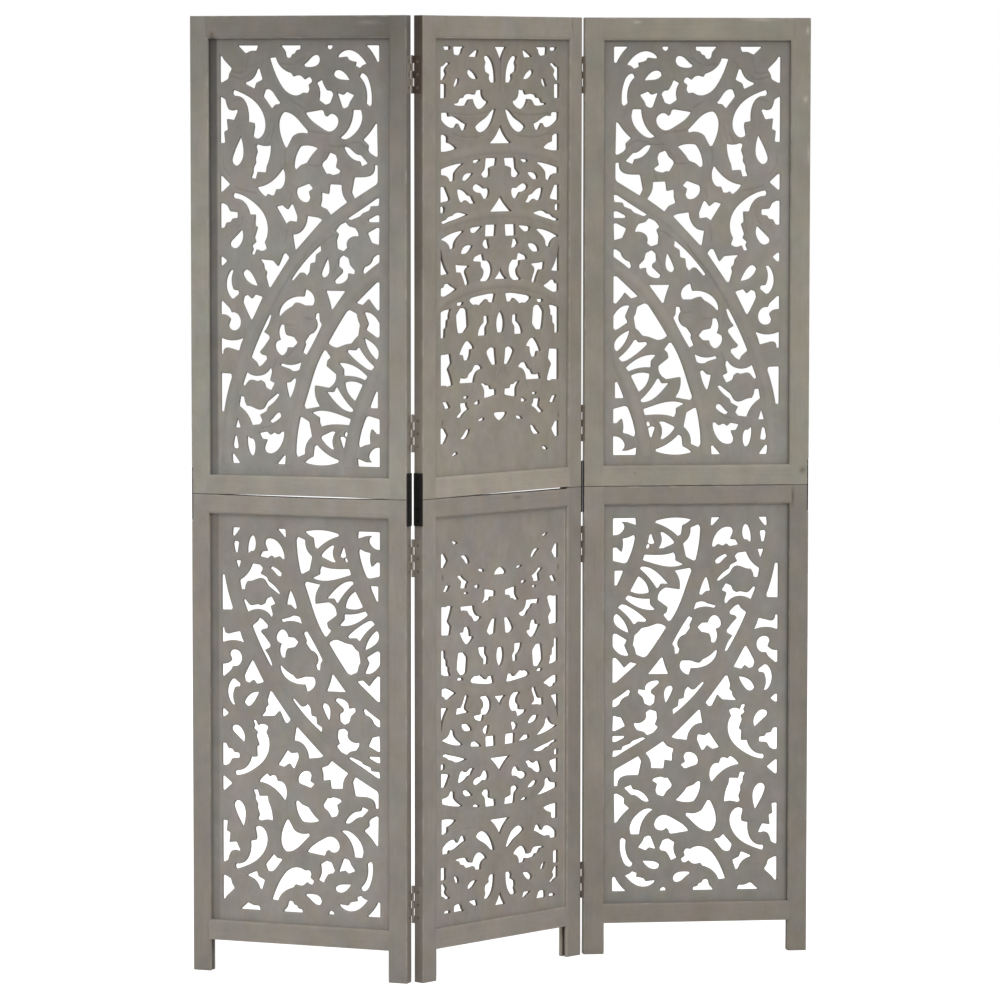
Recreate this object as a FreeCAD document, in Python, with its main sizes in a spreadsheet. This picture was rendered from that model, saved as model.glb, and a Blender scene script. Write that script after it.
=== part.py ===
"""Three-panel folding screen with carved fretwork boards, in millimetres.

Each panel is two grooved frames, one above the other, that steel plates on the stiles' edges
join at a seam. A frame holds a pierced board in its groove. Butt hinges join the panels: the
left fold's pins stand behind the screen and the right fold's pins stand in front of it, so the
screen folds in a zigzag. The front faces -Y, +Z is up, and the origin is at the middle of the
screen's footprint, on the floor.
"""
import FreeCAD, Part
import math
import os
import re

from FreeCAD import Placement, Rotation, Vector

# Driving sizes, each written once.
SIZES = {
    # Panels and frames
    "panel_width": 400.0,
    "screen_height": 1650.0,
    "seam_height": 830.0,
    "seam_gap": 2.0,
    "foot_height": 55.0,
    "frame_thickness": 20.0,
    "stile_width": 35.5,
    "top_rail_width": 34.0,
    "upper_sill_width": 35.5,
    "lower_head_width": 32.5,
    "bottom_rail_width": 35.0,
    # Groove, tenons and pierced boards
    "recess_depth": 6.0,
    "board_thickness": 7.0,
    "groove_depth": 8.0,
    "groove_clearance": 0.1,
    "board_play": 1.0,
    "tenon_play": 0.5,
    "border_side": 17.5,
    "side_upper_border_top": 16.9,
    "side_upper_border_bottom": 18.1,
    "side_lower_border_top": 23.6,
    "side_lower_border_bottom": 20.4,
    "middle_upper_border_top": 17.7,
    "middle_upper_border_bottom": 17.3,
    "middle_lower_border_top": 28.3,
    "middle_lower_border_bottom": 20.9,
    "side_opening_ease": 0.3,
    "middle_opening_ease": -0.8,
    # Width of the middle boards' openings, as a share of the width drawn below
    "middle_upper_opening_share": 0.93,
    "middle_lower_opening_share": 0.85,
    # Butt hinges
    "fold_gap": 3.6,
    "leaf_height": 64.0,
    "leaf_width": 17.0,
    "leaf_thickness": 1.2,
    "knuckle_radius": 1.95,
    "knuckle_gap": 0.25,
    "pin_radius": 1.0,
    "pin_clearance": 0.05,
    "pin_head_radius": 1.7,
    "pin_head_height": 1.0,
    "axis_stand_off": 2.2,
    "top_hinge_drop": 100.0,
    "seam_hinge_rise": 112.0,
    "seam_hinge_drop": 101.0,
    "foot_hinge_rise": 134.0,
    # Joining plates and screws
    "plate_height": 90.0,
    "plate_width": 20.0,
    "plate_thickness": 2.0,
    "outer_plate_sink": 0.8,
    "fold_plate_rise": 1.6,
    "plate_end_play": 1.5,
    "plate_screw_near": 16.0,
    "plate_screw_far": 36.0,
    "hinge_screw_spacing": 22.0,
    "screw_radius": 1.5,
    "screw_head_radius": 3.0,
    "screw_head_height": 1.3,
    "screw_length": 14.0,
    "slot_width": 0.8,
    "slot_depth": 0.6,
    # Plan angle of each panel as it stands
    "left_angle": -20.94,
    "middle_angle": 46.71,
    "right_angle": 6.73,
}

# The carved pattern, drawn for one frame's field of openings: across from the panel's left edge,
# up from the seam. A point is a corner. A list of points is a smooth curve from the corner before
# it to the corner after it. The side pattern is a quarter of a round mandala with scrolls over it.
FIELD_LEFT, FIELD_RIGHT = 53.0, 347.0
FIELD_BOTTOM, FIELD_TOP = 60.0, 774.0
FIELD_MIDDLE = 200.0
SIDE_OPENINGS = [
    # Upper scrolls, above the outer band
    [(53, 774), (77, 774), [(66, 762)], (57, 746), (53, 747)],
    [(76, 743), [(84, 753), (97, 763), (110, 766), (121, 763)], (129, 756), (128, 754), [(120, 755)],
     (112, 756), (110, 751), [(102, 748)], (95, 747), (97, 740), (88, 736), [(83, 741)]],
    [(138, 774), (149, 774), (148, 770), (144, 767), (139, 770)],
    [(192, 742), [(182, 750), (173, 757), (165, 757), (162, 751), (165, 743), (173, 739)], (190, 739)],
    [(197, 774), (234, 774), (226, 765), (224, 755), (219, 753), (215, 755), (213, 760), (208, 761),
     (205, 767), (198, 768)],
    [(107, 716), [(113, 724), (122, 731), (131, 732)], (135, 730), (137, 725), [(132, 720),
     (122, 717)]],
    [(89, 721), [(84, 727), (79, 725), (71, 712), (67, 693)], (67, 675), (70, 671), (77, 676),
     [(76, 690), (79, 706)]],
    [(99, 690), (113, 696), (119, 690), (130, 694), (121, 669), (117, 668), (110, 671), (107, 679)],
    [(158, 716), (168, 711), [(163, 700)], (164, 682), (152, 674), (143, 677), (137, 692), (141, 697),
     (149, 698), [(154, 706)]],
    [(243, 754), (255, 753), [(249, 736), (238, 713), (224, 696), (205, 690)], (193, 695), (184, 694),
     (181, 700), (183, 708), (176, 713), [(180, 720)], (190, 716), [(196, 722)], (211, 721), (214, 727),
     [(228, 733), (239, 744)]],
    [(276, 774), (314, 774), (300, 761), (289, 766), (279, 766)],
    [(344, 757), (347, 757), (347, 712), (343, 712), (332, 718), (330, 727), (325, 735), (340, 750)],
    [(274, 736), (278, 734), [(286, 719)], (301, 711), (300, 709), (283, 701), (280, 711), (268, 717)],
    [(235, 677), [(245, 690), (254, 699)], (263, 699), (267, 688), (251, 667), (244, 675), (238, 675)],
    [(322, 699), (324, 693), (321, 689), [(306, 685), (297, 670)], (295, 645), (284, 643), (283, 636),
     (286, 620), [(275, 617), (266, 626), (263, 642), (270, 664), (285, 681), (304, 692)]],
    [(345, 687), (347, 687), (347, 608), (338, 609), (340, 628), (333, 631), (335, 650), (321, 648),
     (314, 664), (318, 665), (324, 663), (331, 665), [(335, 673)], (337, 682)],
    [(86, 665), (101, 665), [(103, 650), (109, 635)], (125, 618), [(115, 616), (100, 624), (88, 639)],
     (84, 654)],
    [(158, 665), (189, 660), [(181, 650), (163, 637), (143, 629), (131, 637), (129, 651), (138, 658)],
     (149, 653), (153, 656), (155, 663)],
    [(229, 661), [(236, 651), (238, 640)], (227, 602), (223, 601), (213, 620), [(205, 625)], (185, 625),
     (184, 629), [(200, 646), (215, 658)]],
    [(57, 643), (61, 641), [(70, 628)], (83, 615), (73, 606), (74, 597), (70, 592), (59, 586),
     (56, 587)],
    [(118, 602), [(109, 601), (99, 593)], (87, 589), (74, 575), (86, 570), (89, 579), [(99, 581),
     (111, 590)]],
    [(144, 593), (150, 582), (158, 575), (159, 571), (151, 557), (146, 558), (139, 555), (127, 558),
     (124, 562), (133, 568), (130, 581), (133, 589)],
    [(166, 600), [(180, 604)], (198, 603), [(207, 586)], (210, 567), (206, 564), (197, 572), (186, 576),
     [(177, 589)]],
    [(253, 605), [(264, 603)], (276, 606), (281, 604), (278, 594), (282, 582), (281, 575), (286, 566),
     (286, 558), (290, 549), (281, 548), (278, 560), (262, 559), (261, 569), [(255, 586)]],
    [(309, 620), [(317, 603), (324, 586), (325, 576), (318, 570), (309, 576), (304, 592)]],
    [(231, 566), [(241, 553), (257, 540)], (279, 533), [(272, 524)], (263, 517), (258, 523), (255, 520),
     (247, 520), (243, 531), [(234, 532), (227, 545)]],
    [(344, 552), (347, 552), (347, 525), (344, 525), (329, 538)],
    [(56, 572), (62, 572), [(70, 554), (84, 551)], (99, 551), (104, 525), (99, 515), (58, 540),
     (56, 544)],
    [(122, 538), (144, 539), (146, 522), (159, 525), (159, 512), (162, 502), (150, 497), (143, 487),
     (124, 501), (112, 509), [(120, 521)]],
    [(182, 540), (204, 532), [(204, 519), (195, 510)], (183, 510), (180, 516), (183, 527), (175, 532)],
    [(213, 505), (216, 504), (222, 495), (232, 503), (243, 500), [(234, 486)], (225, 471), (218, 477),
     (205, 475), (204, 484), (211, 502)],
    [(322, 523), (324, 518), (321, 514), [(305, 509), (296, 497)], (293, 487), (282, 487), (283, 468),
     (278, 465), (284, 447), (281, 440), (289, 433), (286, 428), (290, 419), (284, 418), (280, 428),
     [(271, 425)], (261, 429), (265, 440), [(259, 460), (266, 487), (284, 506), (306, 519)]],
    [(347, 505), (347, 463), (340, 464), (336, 473), (328, 474), (325, 480), (315, 481), (315, 490),
     (329, 491), (334, 501), (341, 505)],
    [(158, 479), (165, 482), (186, 485), [(190, 468), (199, 457)], (213, 453), (209, 428), (206, 428)],
    [(307, 461), [(317, 451)], (328, 440), [(328, 432), (319, 429), (310, 436), (305, 450)]],
    [(219, 414), (225, 421), (230, 420), (240, 398), (249, 408), (274, 410), (267, 402), (266, 394),
     (261, 389), (263, 381), (258, 363), (254, 363)],
    [(344, 414), (347, 414), (347, 399), (343, 399), (335, 407)],
    [(278, 365), [(285, 379), (299, 392)], (306, 386), [(300, 375)]],
    [(323, 391), (328, 391), [(336, 376), (337, 362)], (328, 343), (324, 342), (313, 351), (314, 356),
     (323, 357), [(327, 372)]],
    [(269, 346), (283, 350), (289, 342), (297, 349), (304, 346), (306, 336), [(298, 319)], (291, 306),
     (288, 308)],
    [(344, 338), (347, 338), (347, 315), [(337, 314)], (329, 307), (333, 297), [(328, 289), (316, 290),
     (310, 302), (315, 315)], (327, 318), (330, 325)],
    [(305, 275), [(325, 270)], (347, 275), (347, 247), (343, 247), [(340, 257)], (328, 257), (313, 253),
     (310, 264)],
    [(328, 213), (347, 214), (347, 148), (342, 148), [(335, 182)], (327, 208)],
    # Between the outer and the second band
    [(53, 516), (59, 515), [(85, 498)], (112, 481), (106, 479), (88, 486), (84, 491), (71, 496),
     (69, 503), (54, 504)],
    [(53, 487), (59, 487), (74, 479), (73, 476), (53, 476)],
    [(91, 451), (92, 457), (97, 465), (109, 468), (115, 475), (126, 470), (134, 460), (128, 455),
     (132, 444), (131, 430), (119, 426), (112, 432), [(111, 445), (103, 451)]],
    [(53, 466), (58, 466), (75, 457), (68, 441), (54, 437)],
    [(161, 436), [(185, 414)], (216, 376), (213, 374), (199, 389), (193, 389), (187, 383), (182, 390),
     (180, 405), (171, 407), (170, 420), (160, 426)],
    [(148, 414), [(153, 404)], (160, 387), [(155, 381), (149, 384), (145, 398)]],
    [(120, 419), (110, 414), (107, 402), (98, 393), (99, 387), (111, 389), [(114, 377), (122, 372)],
     (134, 371), (136, 375), (121, 389), (121, 395), (128, 400), (127, 413)],
    [(53, 421), (58, 420), (65, 415), [(70, 405)], (81, 399), (84, 391), (81, 387), [(66, 399)],
     (53, 408)],
    [(189, 360), (192, 347), [(210, 346), (228, 337)], (239, 315), (237, 313), [(226, 324)], (214, 331),
     (208, 338), (201, 337), (191, 333), (176, 333), [(173, 345), (179, 355)]],
    [(116, 358), (152, 358), [(146, 343)], (142, 327), (139, 327)],
    [(164, 320), (170, 319), (172, 311), [(168, 299), (173, 288)], (182, 283), (191, 270), (189, 266),
     (195, 252), (188, 248), [(176, 268)], (159, 301), (163, 306)],
    [(229, 299), (235, 299), [(239, 288)], (236, 273), (243, 270), [(245, 258), (233, 247), (224, 256)],
     (223, 261), (212, 261), (204, 269), (211, 278), (225, 281), (228, 289)],
    [(253, 316), (257, 315), [(270, 290)], (291, 242), (281, 234), (277, 226), (270, 230), (261, 240),
     (262, 245), (271, 247), (275, 252), (266, 262), (256, 276), (257, 280), (267, 286), [(258, 300)]],
    [(197, 236), [(215, 230)], (234, 233), (237, 229), (220, 224), (216, 221), [(206, 221)],
     (201, 223)],
    [(207, 206), (211, 208), (219, 200), (226, 200), [(223, 185)], (220, 174), (218, 174),
     [(210, 193)]],
    [(253, 224), (256, 224), [(267, 213), (280, 210)], (299, 217), (307, 195), (304, 192), (296, 202),
     [(289, 204), (281, 202)], (274, 204), (267, 200), (264, 191), (254, 186), (247, 199), (256, 203),
     (252, 218)],
    [(238, 180), (242, 181), [(252, 173)], (261, 166), (266, 157), [(275, 152), (285, 155)], (299, 158),
     (303, 166), (304, 174), (311, 175), (314, 158), [(301, 147)], (290, 126), (275, 128), (270, 134),
     (275, 144), (262, 151), (260, 158), [(248, 167)]],
    [(236, 147), [(240, 148), (248, 142)], (257, 134), (253, 130), [(243, 135)], (235, 142)],
    [(230, 116), (234, 116), (240, 110), (249, 114), (255, 109), (261, 115), (276, 112), (271, 103),
     (261, 102), (266, 89), [(263, 80), (252, 79), (240, 87)]],
    [(298, 108), [(298, 93)], (294, 78), [(288, 74), (284, 82)], (292, 102)],
    [(316, 138), (321, 121), (311, 121)],
    [(318, 107), (322, 106), (325, 90), (323, 85), (315, 86), (315, 90)],
    [(324, 76), (327, 75), (326, 60), (312, 60), [(317, 67)]],
    [(227, 75), (230, 75), (243, 60), (228, 60)],
    # Between the second and the inner band
    [(53, 374), (59, 373), (96, 338), (84, 335), (73, 346), [(66, 336)], (57, 326), (53, 327)],
    [(53, 304), [(60, 314), (70, 321)], (81, 322), (73, 303), (78, 293), (60, 281), (55, 280),
     (53, 283)],
    [(108, 326), (95, 320), (92, 307), (89, 302), (92, 283), (98, 278), (104, 270), (115, 268),
     (131, 262), [(141, 264)], (148, 269), [(133, 294)], (114, 323)],
    [(81, 279), [(67, 271), (56, 259)], (56, 245), (59, 242), [(72, 256)]],
    [(90, 262), (93, 262), (97, 257), (111, 258), (113, 255), [(98, 241)], (76, 226), (68, 224),
     (62, 230), [(79, 246)]],
    [(128, 235), [(110, 234), (93, 227)], (75, 213), (80, 207), [(98, 213)], (119, 214), (119, 225)],
    [(152, 257), (156, 256), [(172, 224), (184, 188)], (193, 161), (190, 156), (163, 161), [(171, 176)],
     (172, 197), (147, 193), [(135, 204)], (133, 216), (151, 230), (149, 240), (143, 245)],
    [(84, 199), [(100, 204)], (117, 202), [(112, 185)], (98, 171), [(92, 183)]],
    [(131, 194), (134, 193), (138, 185), (151, 186), [(132, 165), (114, 154)], (103, 153), (101, 156),
     [(118, 174)]],
    [(106, 140), [(130, 148), (155, 153)], (178, 149), (164, 142), (164, 133), (161, 126), [(147, 130),
     (128, 131)], (109, 130)],
    [(197, 142), (200, 141), [(206, 108)], (208, 79), (205, 73), (191, 79), [(189, 95)], (178, 109),
     (183, 134)],
    [(134, 118), (142, 118), (161, 109), (162, 107), [(153, 96)], (140, 87), (137, 88), [(140, 102)]],
    [(115, 107), (121, 110), (127, 108), [(123, 97)], (121, 90), (118, 92)],
    [(112, 114), [(115, 118), (118, 113)], (114, 110)],
    [(169, 95), (174, 91), (176, 74), [(184, 70)], (192, 64), [(162, 60)], (129, 66), (128, 69),
     [(150, 79)]],
    # Inside the inner band
    [(56, 188), (60, 188), [(66, 174)], (71, 161), (70, 160), (56, 160)],
    [(53, 141), (73, 146), (78, 144), [(87, 120)], (92, 97), (90, 92), (80, 97), (70, 99), [(71, 112)],
     (68, 125), (59, 116), (53, 116)],
    [(53, 93), (58, 92), [(68, 87), (73, 78)], (67, 67), (78, 67), (94, 73), (93, 60), (53, 60)],
]

# The middle pattern's left half; its right half is the mirror image.
MIDDLE_OPENINGS = [
    [(57, 774), (77, 774), (76, 767), (60, 767)],
    [(81, 774), (112, 774), (107, 769), [(103, 760)], (92, 758), (82, 760)],
    [(119, 756), [(128, 763)], (139, 769), (147, 767), (142, 755)],
    [(50, 739), (57, 741), (65, 747), (74, 747), (77, 744), (68, 738), (64, 733), (68, 726), (60, 716),
     (50, 716)],
    [(50, 711), (66, 710), (66, 686), (50, 685)],
    [(117, 734), (121, 736), [(130, 733)], (145, 719), (143, 718), (132, 718), [(120, 723)],
     (115, 729)],
    [(82, 705), [(85, 713)], (89, 720), (98, 720), (99, 717), [(96, 709)], (91, 705)],
    [(158, 758), (170, 759), [(184, 744), (189, 725)], (189, 712), (174, 712), (169, 719), (171, 726),
     (160, 731), (158, 740), (161, 746), (157, 754)],
    [(81, 677), (91, 678), (96, 686), (106, 687), (109, 692), [(122, 694)], (136, 692), (140, 700),
     (157, 701), [(160, 688)], (174, 680), [(161, 669), (145, 667), (134, 676)], (131, 684), (122, 683),
     (114, 673), [(98, 672)], (82, 674)],
    [(50, 662), (70, 662), (72, 655), [(88, 655), (104, 648)], (120, 642), (115, 631), (104, 630),
     (95, 643), (89, 635), (76, 635), [(62, 640)], (50, 649)],
    [(134, 637), [(146, 645), (164, 654), (180, 666)], (191, 667), [(183, 648), (168, 632), (150, 627)],
     (138, 631)],
    [(50, 624), (61, 625), (70, 621), (70, 611), [(82, 608)], (93, 601), (92, 599), [(70, 595)],
     (50, 595)],
    [(50, 566), [(75, 572)], (104, 576), (111, 574), [(97, 566)], (88, 558), (87, 545), (74, 543),
     (69, 551), [(62, 554)], (50, 555)],
    [(129, 576), (132, 581), (150, 582), (151, 579), (141, 574)],
    [(103, 548), [(109, 556), (122, 559)], (134, 558), [(126, 550)], (117, 545), (106, 545)],
    [(162, 584), (193, 584), (191, 570), [(180, 568)], (174, 566), (175, 555), (172, 550), (157, 549),
     (149, 556), (159, 565)],
    [(128, 534), [(138, 540), (150, 538)], (161, 532), (171, 533), (175, 529), [(174, 520)], (168, 513),
     (158, 513), (149, 524), [(138, 525)], (130, 529)],
    [(50, 536), (64, 536), [(71, 525)], (77, 515), (75, 511), (50, 508)],
    [(90, 530), (94, 532), [(107, 530)], (122, 521), (131, 519), [(135, 512)], (140, 506), (125, 505),
     (114, 512), (109, 508), (98, 509), [(92, 520)]],
    [(50, 503), (61, 503), [(64, 497)], (61, 490), (50, 491)],
    [(50, 477), (62, 480), (69, 485), (80, 487), [(93, 492), (110, 491)], (122, 487), [(100, 481)],
     (76, 476), (62, 472), (51, 473)],
    [(50, 447), [(75, 456)], (104, 461), (112, 459), [(99, 450), (90, 442)], (87, 431), (75, 426),
     (71, 435), [(62, 442)], (50, 445)],
    [(122, 463), (128, 466), (153, 468), (156, 466), [(148, 460)], (139, 455), (125, 456)],
    [(161, 470), (191, 470), (189, 449), (160, 449)],
    [(153, 436), (158, 444), (170, 446), [(172, 438)], (175, 430), (172, 427), (160, 429)],
    [(100, 423), [(106, 432), (118, 436)], (133, 435), [(127, 426)], (117, 420), (101, 420)],
    [(50, 431), (54, 425), [(61, 404)], (73, 387), (50, 385)],
    [(86, 402), (88, 404), (101, 402), (123, 401), (124, 398), [(116, 392)], (119, 382), (124, 370),
     (121, 366), (112, 366), [(106, 379)], (100, 389), (88, 389)],
    [(129, 409), (133, 415), (148, 420), (157, 420), (161, 408), [(174, 407), (182, 395), (176, 377)],
     (168, 372), (150, 372), (147, 375), [(156, 384)], (157, 392), (150, 398), (150, 406), (132, 407)],
    [(50, 364), (57, 365), (60, 371), (73, 372), [(83, 366)], (94, 361), [(78, 353)], (63, 348),
     (50, 350)],
    [(119, 342), (126, 346), [(155, 350)], (176, 352), (191, 351), (186, 335), (171, 336), (167, 342),
     [(158, 336)], (149, 330), (141, 333), (131, 332), (122, 337)],
    [(90, 335), (92, 339), (110, 339), (106, 332), (92, 332)],
    [(50, 323), (63, 327), (79, 328), (75, 318), (75, 310), (70, 309), (69, 296), (64, 294), (63, 278),
     (50, 278)],
    [(94, 324), (99, 329), (113, 329), (119, 325), [(121, 310)], (122, 296), (111, 285), (93, 285),
     [(89, 302)], (88, 317)],
    [(157, 314), (171, 314), (173, 301), (166, 293), (166, 279), (142, 279), [(146, 293)], (157, 302)],
    [(95, 248), [(104, 263)], (113, 272), (124, 272), [(132, 266)], (137, 260), (136, 257), (128, 257),
     (127, 247), (122, 238), (108, 238), (105, 248)],
    [(163, 251), [(171, 258)], (189, 257), [(191, 243)], (193, 228), (179, 228), [(169, 240)]],
    [(50, 250), (77, 252), (81, 235), (72, 225), [(79, 212)], (84, 197), (71, 194), (63, 197),
     (50, 196)],
    [(95, 199), (99, 211), (109, 208), (116, 209), (120, 216), (128, 220), (135, 230), (149, 231),
     (158, 225), (156, 221), [(147, 219), (139, 210)], (136, 199)],
    [(149, 198), (162, 198), (167, 194), (175, 194), (178, 187), (191, 187), (192, 176), [(178, 173)],
     (158, 171), (158, 184), [(154, 192)]],
    [(107, 178), (120, 178), (122, 175), (117, 172), (107, 173)],
    [(98, 166), (117, 167), (119, 160), (124, 154), [(112, 148)], (103, 140), (90, 141), (89, 143),
     (101, 152)],
    [(55, 170), (69, 170), [(74, 164)], (77, 158), (63, 156), [(59, 163)]],
    [(132, 164), (137, 167), (147, 171), (150, 164), (148, 161), (137, 161)],
    [(142, 133), (148, 138), (162, 139), (160, 133), (145, 131)],
    [(50, 125), (62, 125), [(67, 118)], (72, 112), [(66, 103)], (61, 97), (50, 97)],
    [(98, 104), [(107, 112)], (114, 120), (126, 121), [(122, 110)], (113, 103)],
    [(77, 76), (82, 81), (90, 84), (96, 79), (84, 74)],
]

# Openings that the middle pattern's centre line passes through.
CENTRE_OPENINGS = [
    [(184, 774), (216, 774), [(207, 760)], (200, 746), [(193, 760)]],
    [(171, 608), [(186, 622)], (200, 642), [(214, 622)], (229, 608)],
    [(170, 491), [(185, 504)], (200, 520), [(215, 504)], (230, 491)],
    [(183, 375), [(191, 383)], (200, 396), [(209, 383)], (217, 375)],
    [(200, 322), [(210, 310), (212, 297)], (208, 283), (192, 283), [(188, 297), (190, 310)]],
    [(181, 144), (186, 147), (214, 147), (219, 144), [(209, 134)], (200, 131), [(191, 134)]],
]

# Formulas in the sheet's words that more than one piece uses.
GROOVE_FRONT = "recess_depth - groove_clearance"
GROOVE_WIDTH = "board_thickness + 2 * groove_clearance"
SIGHT_WIDTH = "panel_width - 2 * stile_width"
PLATE_FRONT = "(frame_thickness - plate_width) / 2"
KNUCKLE_COUNT = 5

doc = FreeCAD.newDocument("folding_screen")
sheet = doc.addObject("Spreadsheet::Sheet", "Sizes")
for row, (word, number) in enumerate(SIZES.items(), start=1):
    sheet.set("A%d" % row, word)
    sheet.set("B%d" % row, str(number))
    sheet.setAlias("B%d" % row, word)
doc.recompute()


def size(word):
    """The sheet's number under one word."""
    return float(getattr(sheet, word))


def in_sheet(formula):
    """A formula in the sheet's words, written the way an expression names its cells."""
    return re.sub(r"[a-z_]{2,}", lambda word: "Sizes." + word.group(), str(formula))


def bind(thing, **formulas):
    """Tie properties of an object to formulas in the sheet's words."""
    for name, formula in formulas.items():
        thing.setExpression(name, in_sheet(formula))


def stand_at(thing, across, deep, up):
    """Tie the base point of an object's own placement to three formulas."""
    for axis, formula in zip("xyz", (across, deep, up)):
        thing.setExpression("Placement.Base." + axis, in_sheet(formula))


def block(name, spans, corner):
    """A box of three spans (across, deep, up) with its lowest corner at three formulas."""
    thing = doc.addObject("Part::Box", name)
    bind(thing, Length=spans[0], Width=spans[1], Height=spans[2])
    stand_at(thing, *corner)
    return thing


def rod(name, radius, length, base=("0", "0", "0")):
    """An upright cylinder."""
    thing = doc.addObject("Part::Cylinder", name)
    bind(thing, Radius=radius, Height=length)
    stand_at(thing, *base)
    return thing


def together(name, pieces):
    """One solid from pieces that touch or overlap."""
    thing = doc.addObject("Part::MultiFuse", name)
    thing.Shapes = pieces
    thing.Refine = True
    return thing


def group(name, pieces):
    """Separate solids under one name."""
    thing = doc.addObject("Part::Compound", name)
    thing.Links = pieces
    return thing


def less(name, base, tools):
    """A solid with its holes and grooves taken out."""
    thing = doc.addObject("Part::Cut", name)
    thing.Base = base
    thing.Tool = tools[0] if len(tools) == 1 else group(name + "_tools", tools)
    return thing


def copies_at(name, master, spots):
    """The same piece again at each of several places, numbered from 1."""
    copies = []
    for number, spot in enumerate(spots, start=1):
        thing = group("%s_%d" % (name, number), [master])
        thing.Placement = spot
        copies.append(thing)
    return copies


# Where things are
PANELS = ("left", "middle", "right")
EDGES = ("left", "right")
UPRIGHT = Vector(0, 0, 1)
FOLD_FACE = {"left": "back", "right": "front"}
FOLD_PANELS = {"left": ("left", "middle"), "right": ("middle", "right")}
HINGE_HEIGHTS = (
    size("screen_height") - size("top_hinge_drop"),
    size("seam_height") + size("seam_hinge_rise"),
    size("seam_height") - size("seam_hinge_drop"),
    size("foot_hinge_rise"),
)


def turned(degrees, axis=UPRIGHT):
    """A turn about an axis through the origin."""
    return Placement(Vector(), Rotation(axis, degrees))


def moved(across, deep, up):
    """A move without a turn."""
    return Placement(Vector(across, deep, up), Rotation())


def fold_axis(edge, face):
    """A fold's pin line in a panel's own frame, beside one edge and just off one face."""
    beside = -size("fold_gap") / 2 if edge == "left" else size("panel_width") + size("fold_gap") / 2
    off = -size("axis_stand_off") if face == "front" else size("frame_thickness") + size("axis_stand_off")
    return Vector(beside, off, 0)


def plan_corners():
    """The corners of a panel, seen from above, in the panel's frame."""
    wide, thick = size("panel_width"), size("frame_thickness")
    return [Vector(across, deep, 0) for across in (0, wide) for deep in (0, thick)]


def panel_places():
    """Where each panel's lower left front corner stands.

    The panels meet at their pin lines, and the origin is at the middle of the whole footprint.
    """
    places = {"middle": turned(size("middle_angle"))}
    for side, own_edge in (("left", "right"), ("right", "left")):
        face = FOLD_FACE[side]
        pin_line = places["middle"].multVec(fold_axis(side, face))
        turn = turned(size(side + "_angle"))
        places[side] = Placement(pin_line - turn.multVec(fold_axis(own_edge, face)), turn.Rotation)
    corners = [place.multVec(corner) for place in places.values() for corner in plan_corners()]
    across = [corner.x for corner in corners]
    deep = [corner.y for corner in corners]
    centring = moved(-(min(across) + max(across)) / 2, -(min(deep) + max(deep)) / 2, 0)
    return {panel: centring * place for panel, place in places.items()}


def leaf_place(edge, face, height):
    """Where a hinge leaf sits on a panel: the master lies on a left edge with its pin line in front."""
    turns = {
        ("left", "front"): turned(0),
        ("left", "back"): turned(180, Vector(1, 0, 0)),
        ("right", "front"): turned(180, Vector(0, 1, 0)),
        ("right", "back"): turned(180),
    }
    pin = fold_axis(edge, face)
    return moved(pin.x, pin.y, height) * turns[edge, face]


def hinge_edges(panel):
    """The edges of a panel that carry hinges, each with the face that its pin line is at."""
    edges = []
    for fold, (first, second) in FOLD_PANELS.items():
        if panel == first:
            edges.append((fold, "right", FOLD_FACE[fold]))
        if panel == second:
            edges.append((fold, "left", FOLD_FACE[fold]))
    return edges


def plate_place(panel, edge):
    """Where a joining plate sits on a panel: the master lies on the left edge.

    The plates at a fold stand proud of the edge, and the outer ones lie a little below it.
    """
    at_fold = edge in [hinged_edge for fold, hinged_edge, face in hinge_edges(panel)]
    inwards = -size("fold_plate_rise") if at_fold else size("outer_plate_sink")
    if edge == "left":
        return moved(inwards, 0, size("seam_height"))
    across = size("panel_width") - inwards
    return moved(across, size("frame_thickness"), size("seam_height")) * turned(180)


# Screws stand head up, with the head's top at the origin; this turn points one across a left edge.
INTO_LEFT_EDGE = turned(-90, Vector(0, 1, 0))


def leaf_screw_places():
    """The screws of one hinge leaf, in the leaf's frame."""
    side = size("fold_gap") / 2
    deep = size("axis_stand_off") + size("leaf_width") / 2
    return [moved(side, deep, step * size("hinge_screw_spacing")) * INTO_LEFT_EDGE for step in (-1, 0, 1)]


def plate_screw_places():
    """The screws of one joining plate, in the plate's frame: two above the seam and two below it."""
    deep = size("frame_thickness") / 2
    near, far = size("plate_screw_near"), size("plate_screw_far")
    return [moved(0, deep, up) * INTO_LEFT_EDGE for up in (-far, -near, near, far)]


def edge_leaf_places(panel, edge):
    """Where the hinge leaves sit on one edge of a panel; an edge without a fold has none."""
    return [
        leaf_place(edge, face, height)
        for fold, hinged_edge, face in hinge_edges(panel)
        if hinged_edge == edge
        for height in HINGE_HEIGHTS
    ]


def hinge_screw_places(panel, edge):
    """Every hinge screw in one edge of a panel, in the panel's frame."""
    return [leaf * screw for leaf in edge_leaf_places(panel, edge) for screw in leaf_screw_places()]


def edge_plate_screw_places(panel, edge):
    """Every joining plate screw in one edge of a panel, in the panel's frame."""
    return [plate_place(panel, edge) * screw for screw in plate_screw_places()]


# Pieces that are made once and placed many times
def make_screw():
    """A slotted countersunk screw, and the hole that it makes."""
    head = doc.addObject("Part::Cone", "screw_head")
    bind(head, Radius1="screw_radius", Radius2="screw_head_radius", Height="screw_head_height")
    stand_at(head, "0", "0", "-screw_head_height")
    shank_end = ("0", "0", "-screw_head_height - screw_length")
    shank = rod("screw_shank", "screw_radius", "screw_length", shank_end)
    hole = together("screw_hole", [head, shank])
    slot = block(
        "screw_slot",
        ("2 * screw_head_radius", "slot_width", "slot_depth"),
        ("-screw_head_radius", "-slot_width / 2", "-slot_depth"),
    )
    return less("screw", hole, [slot]), hole


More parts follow.
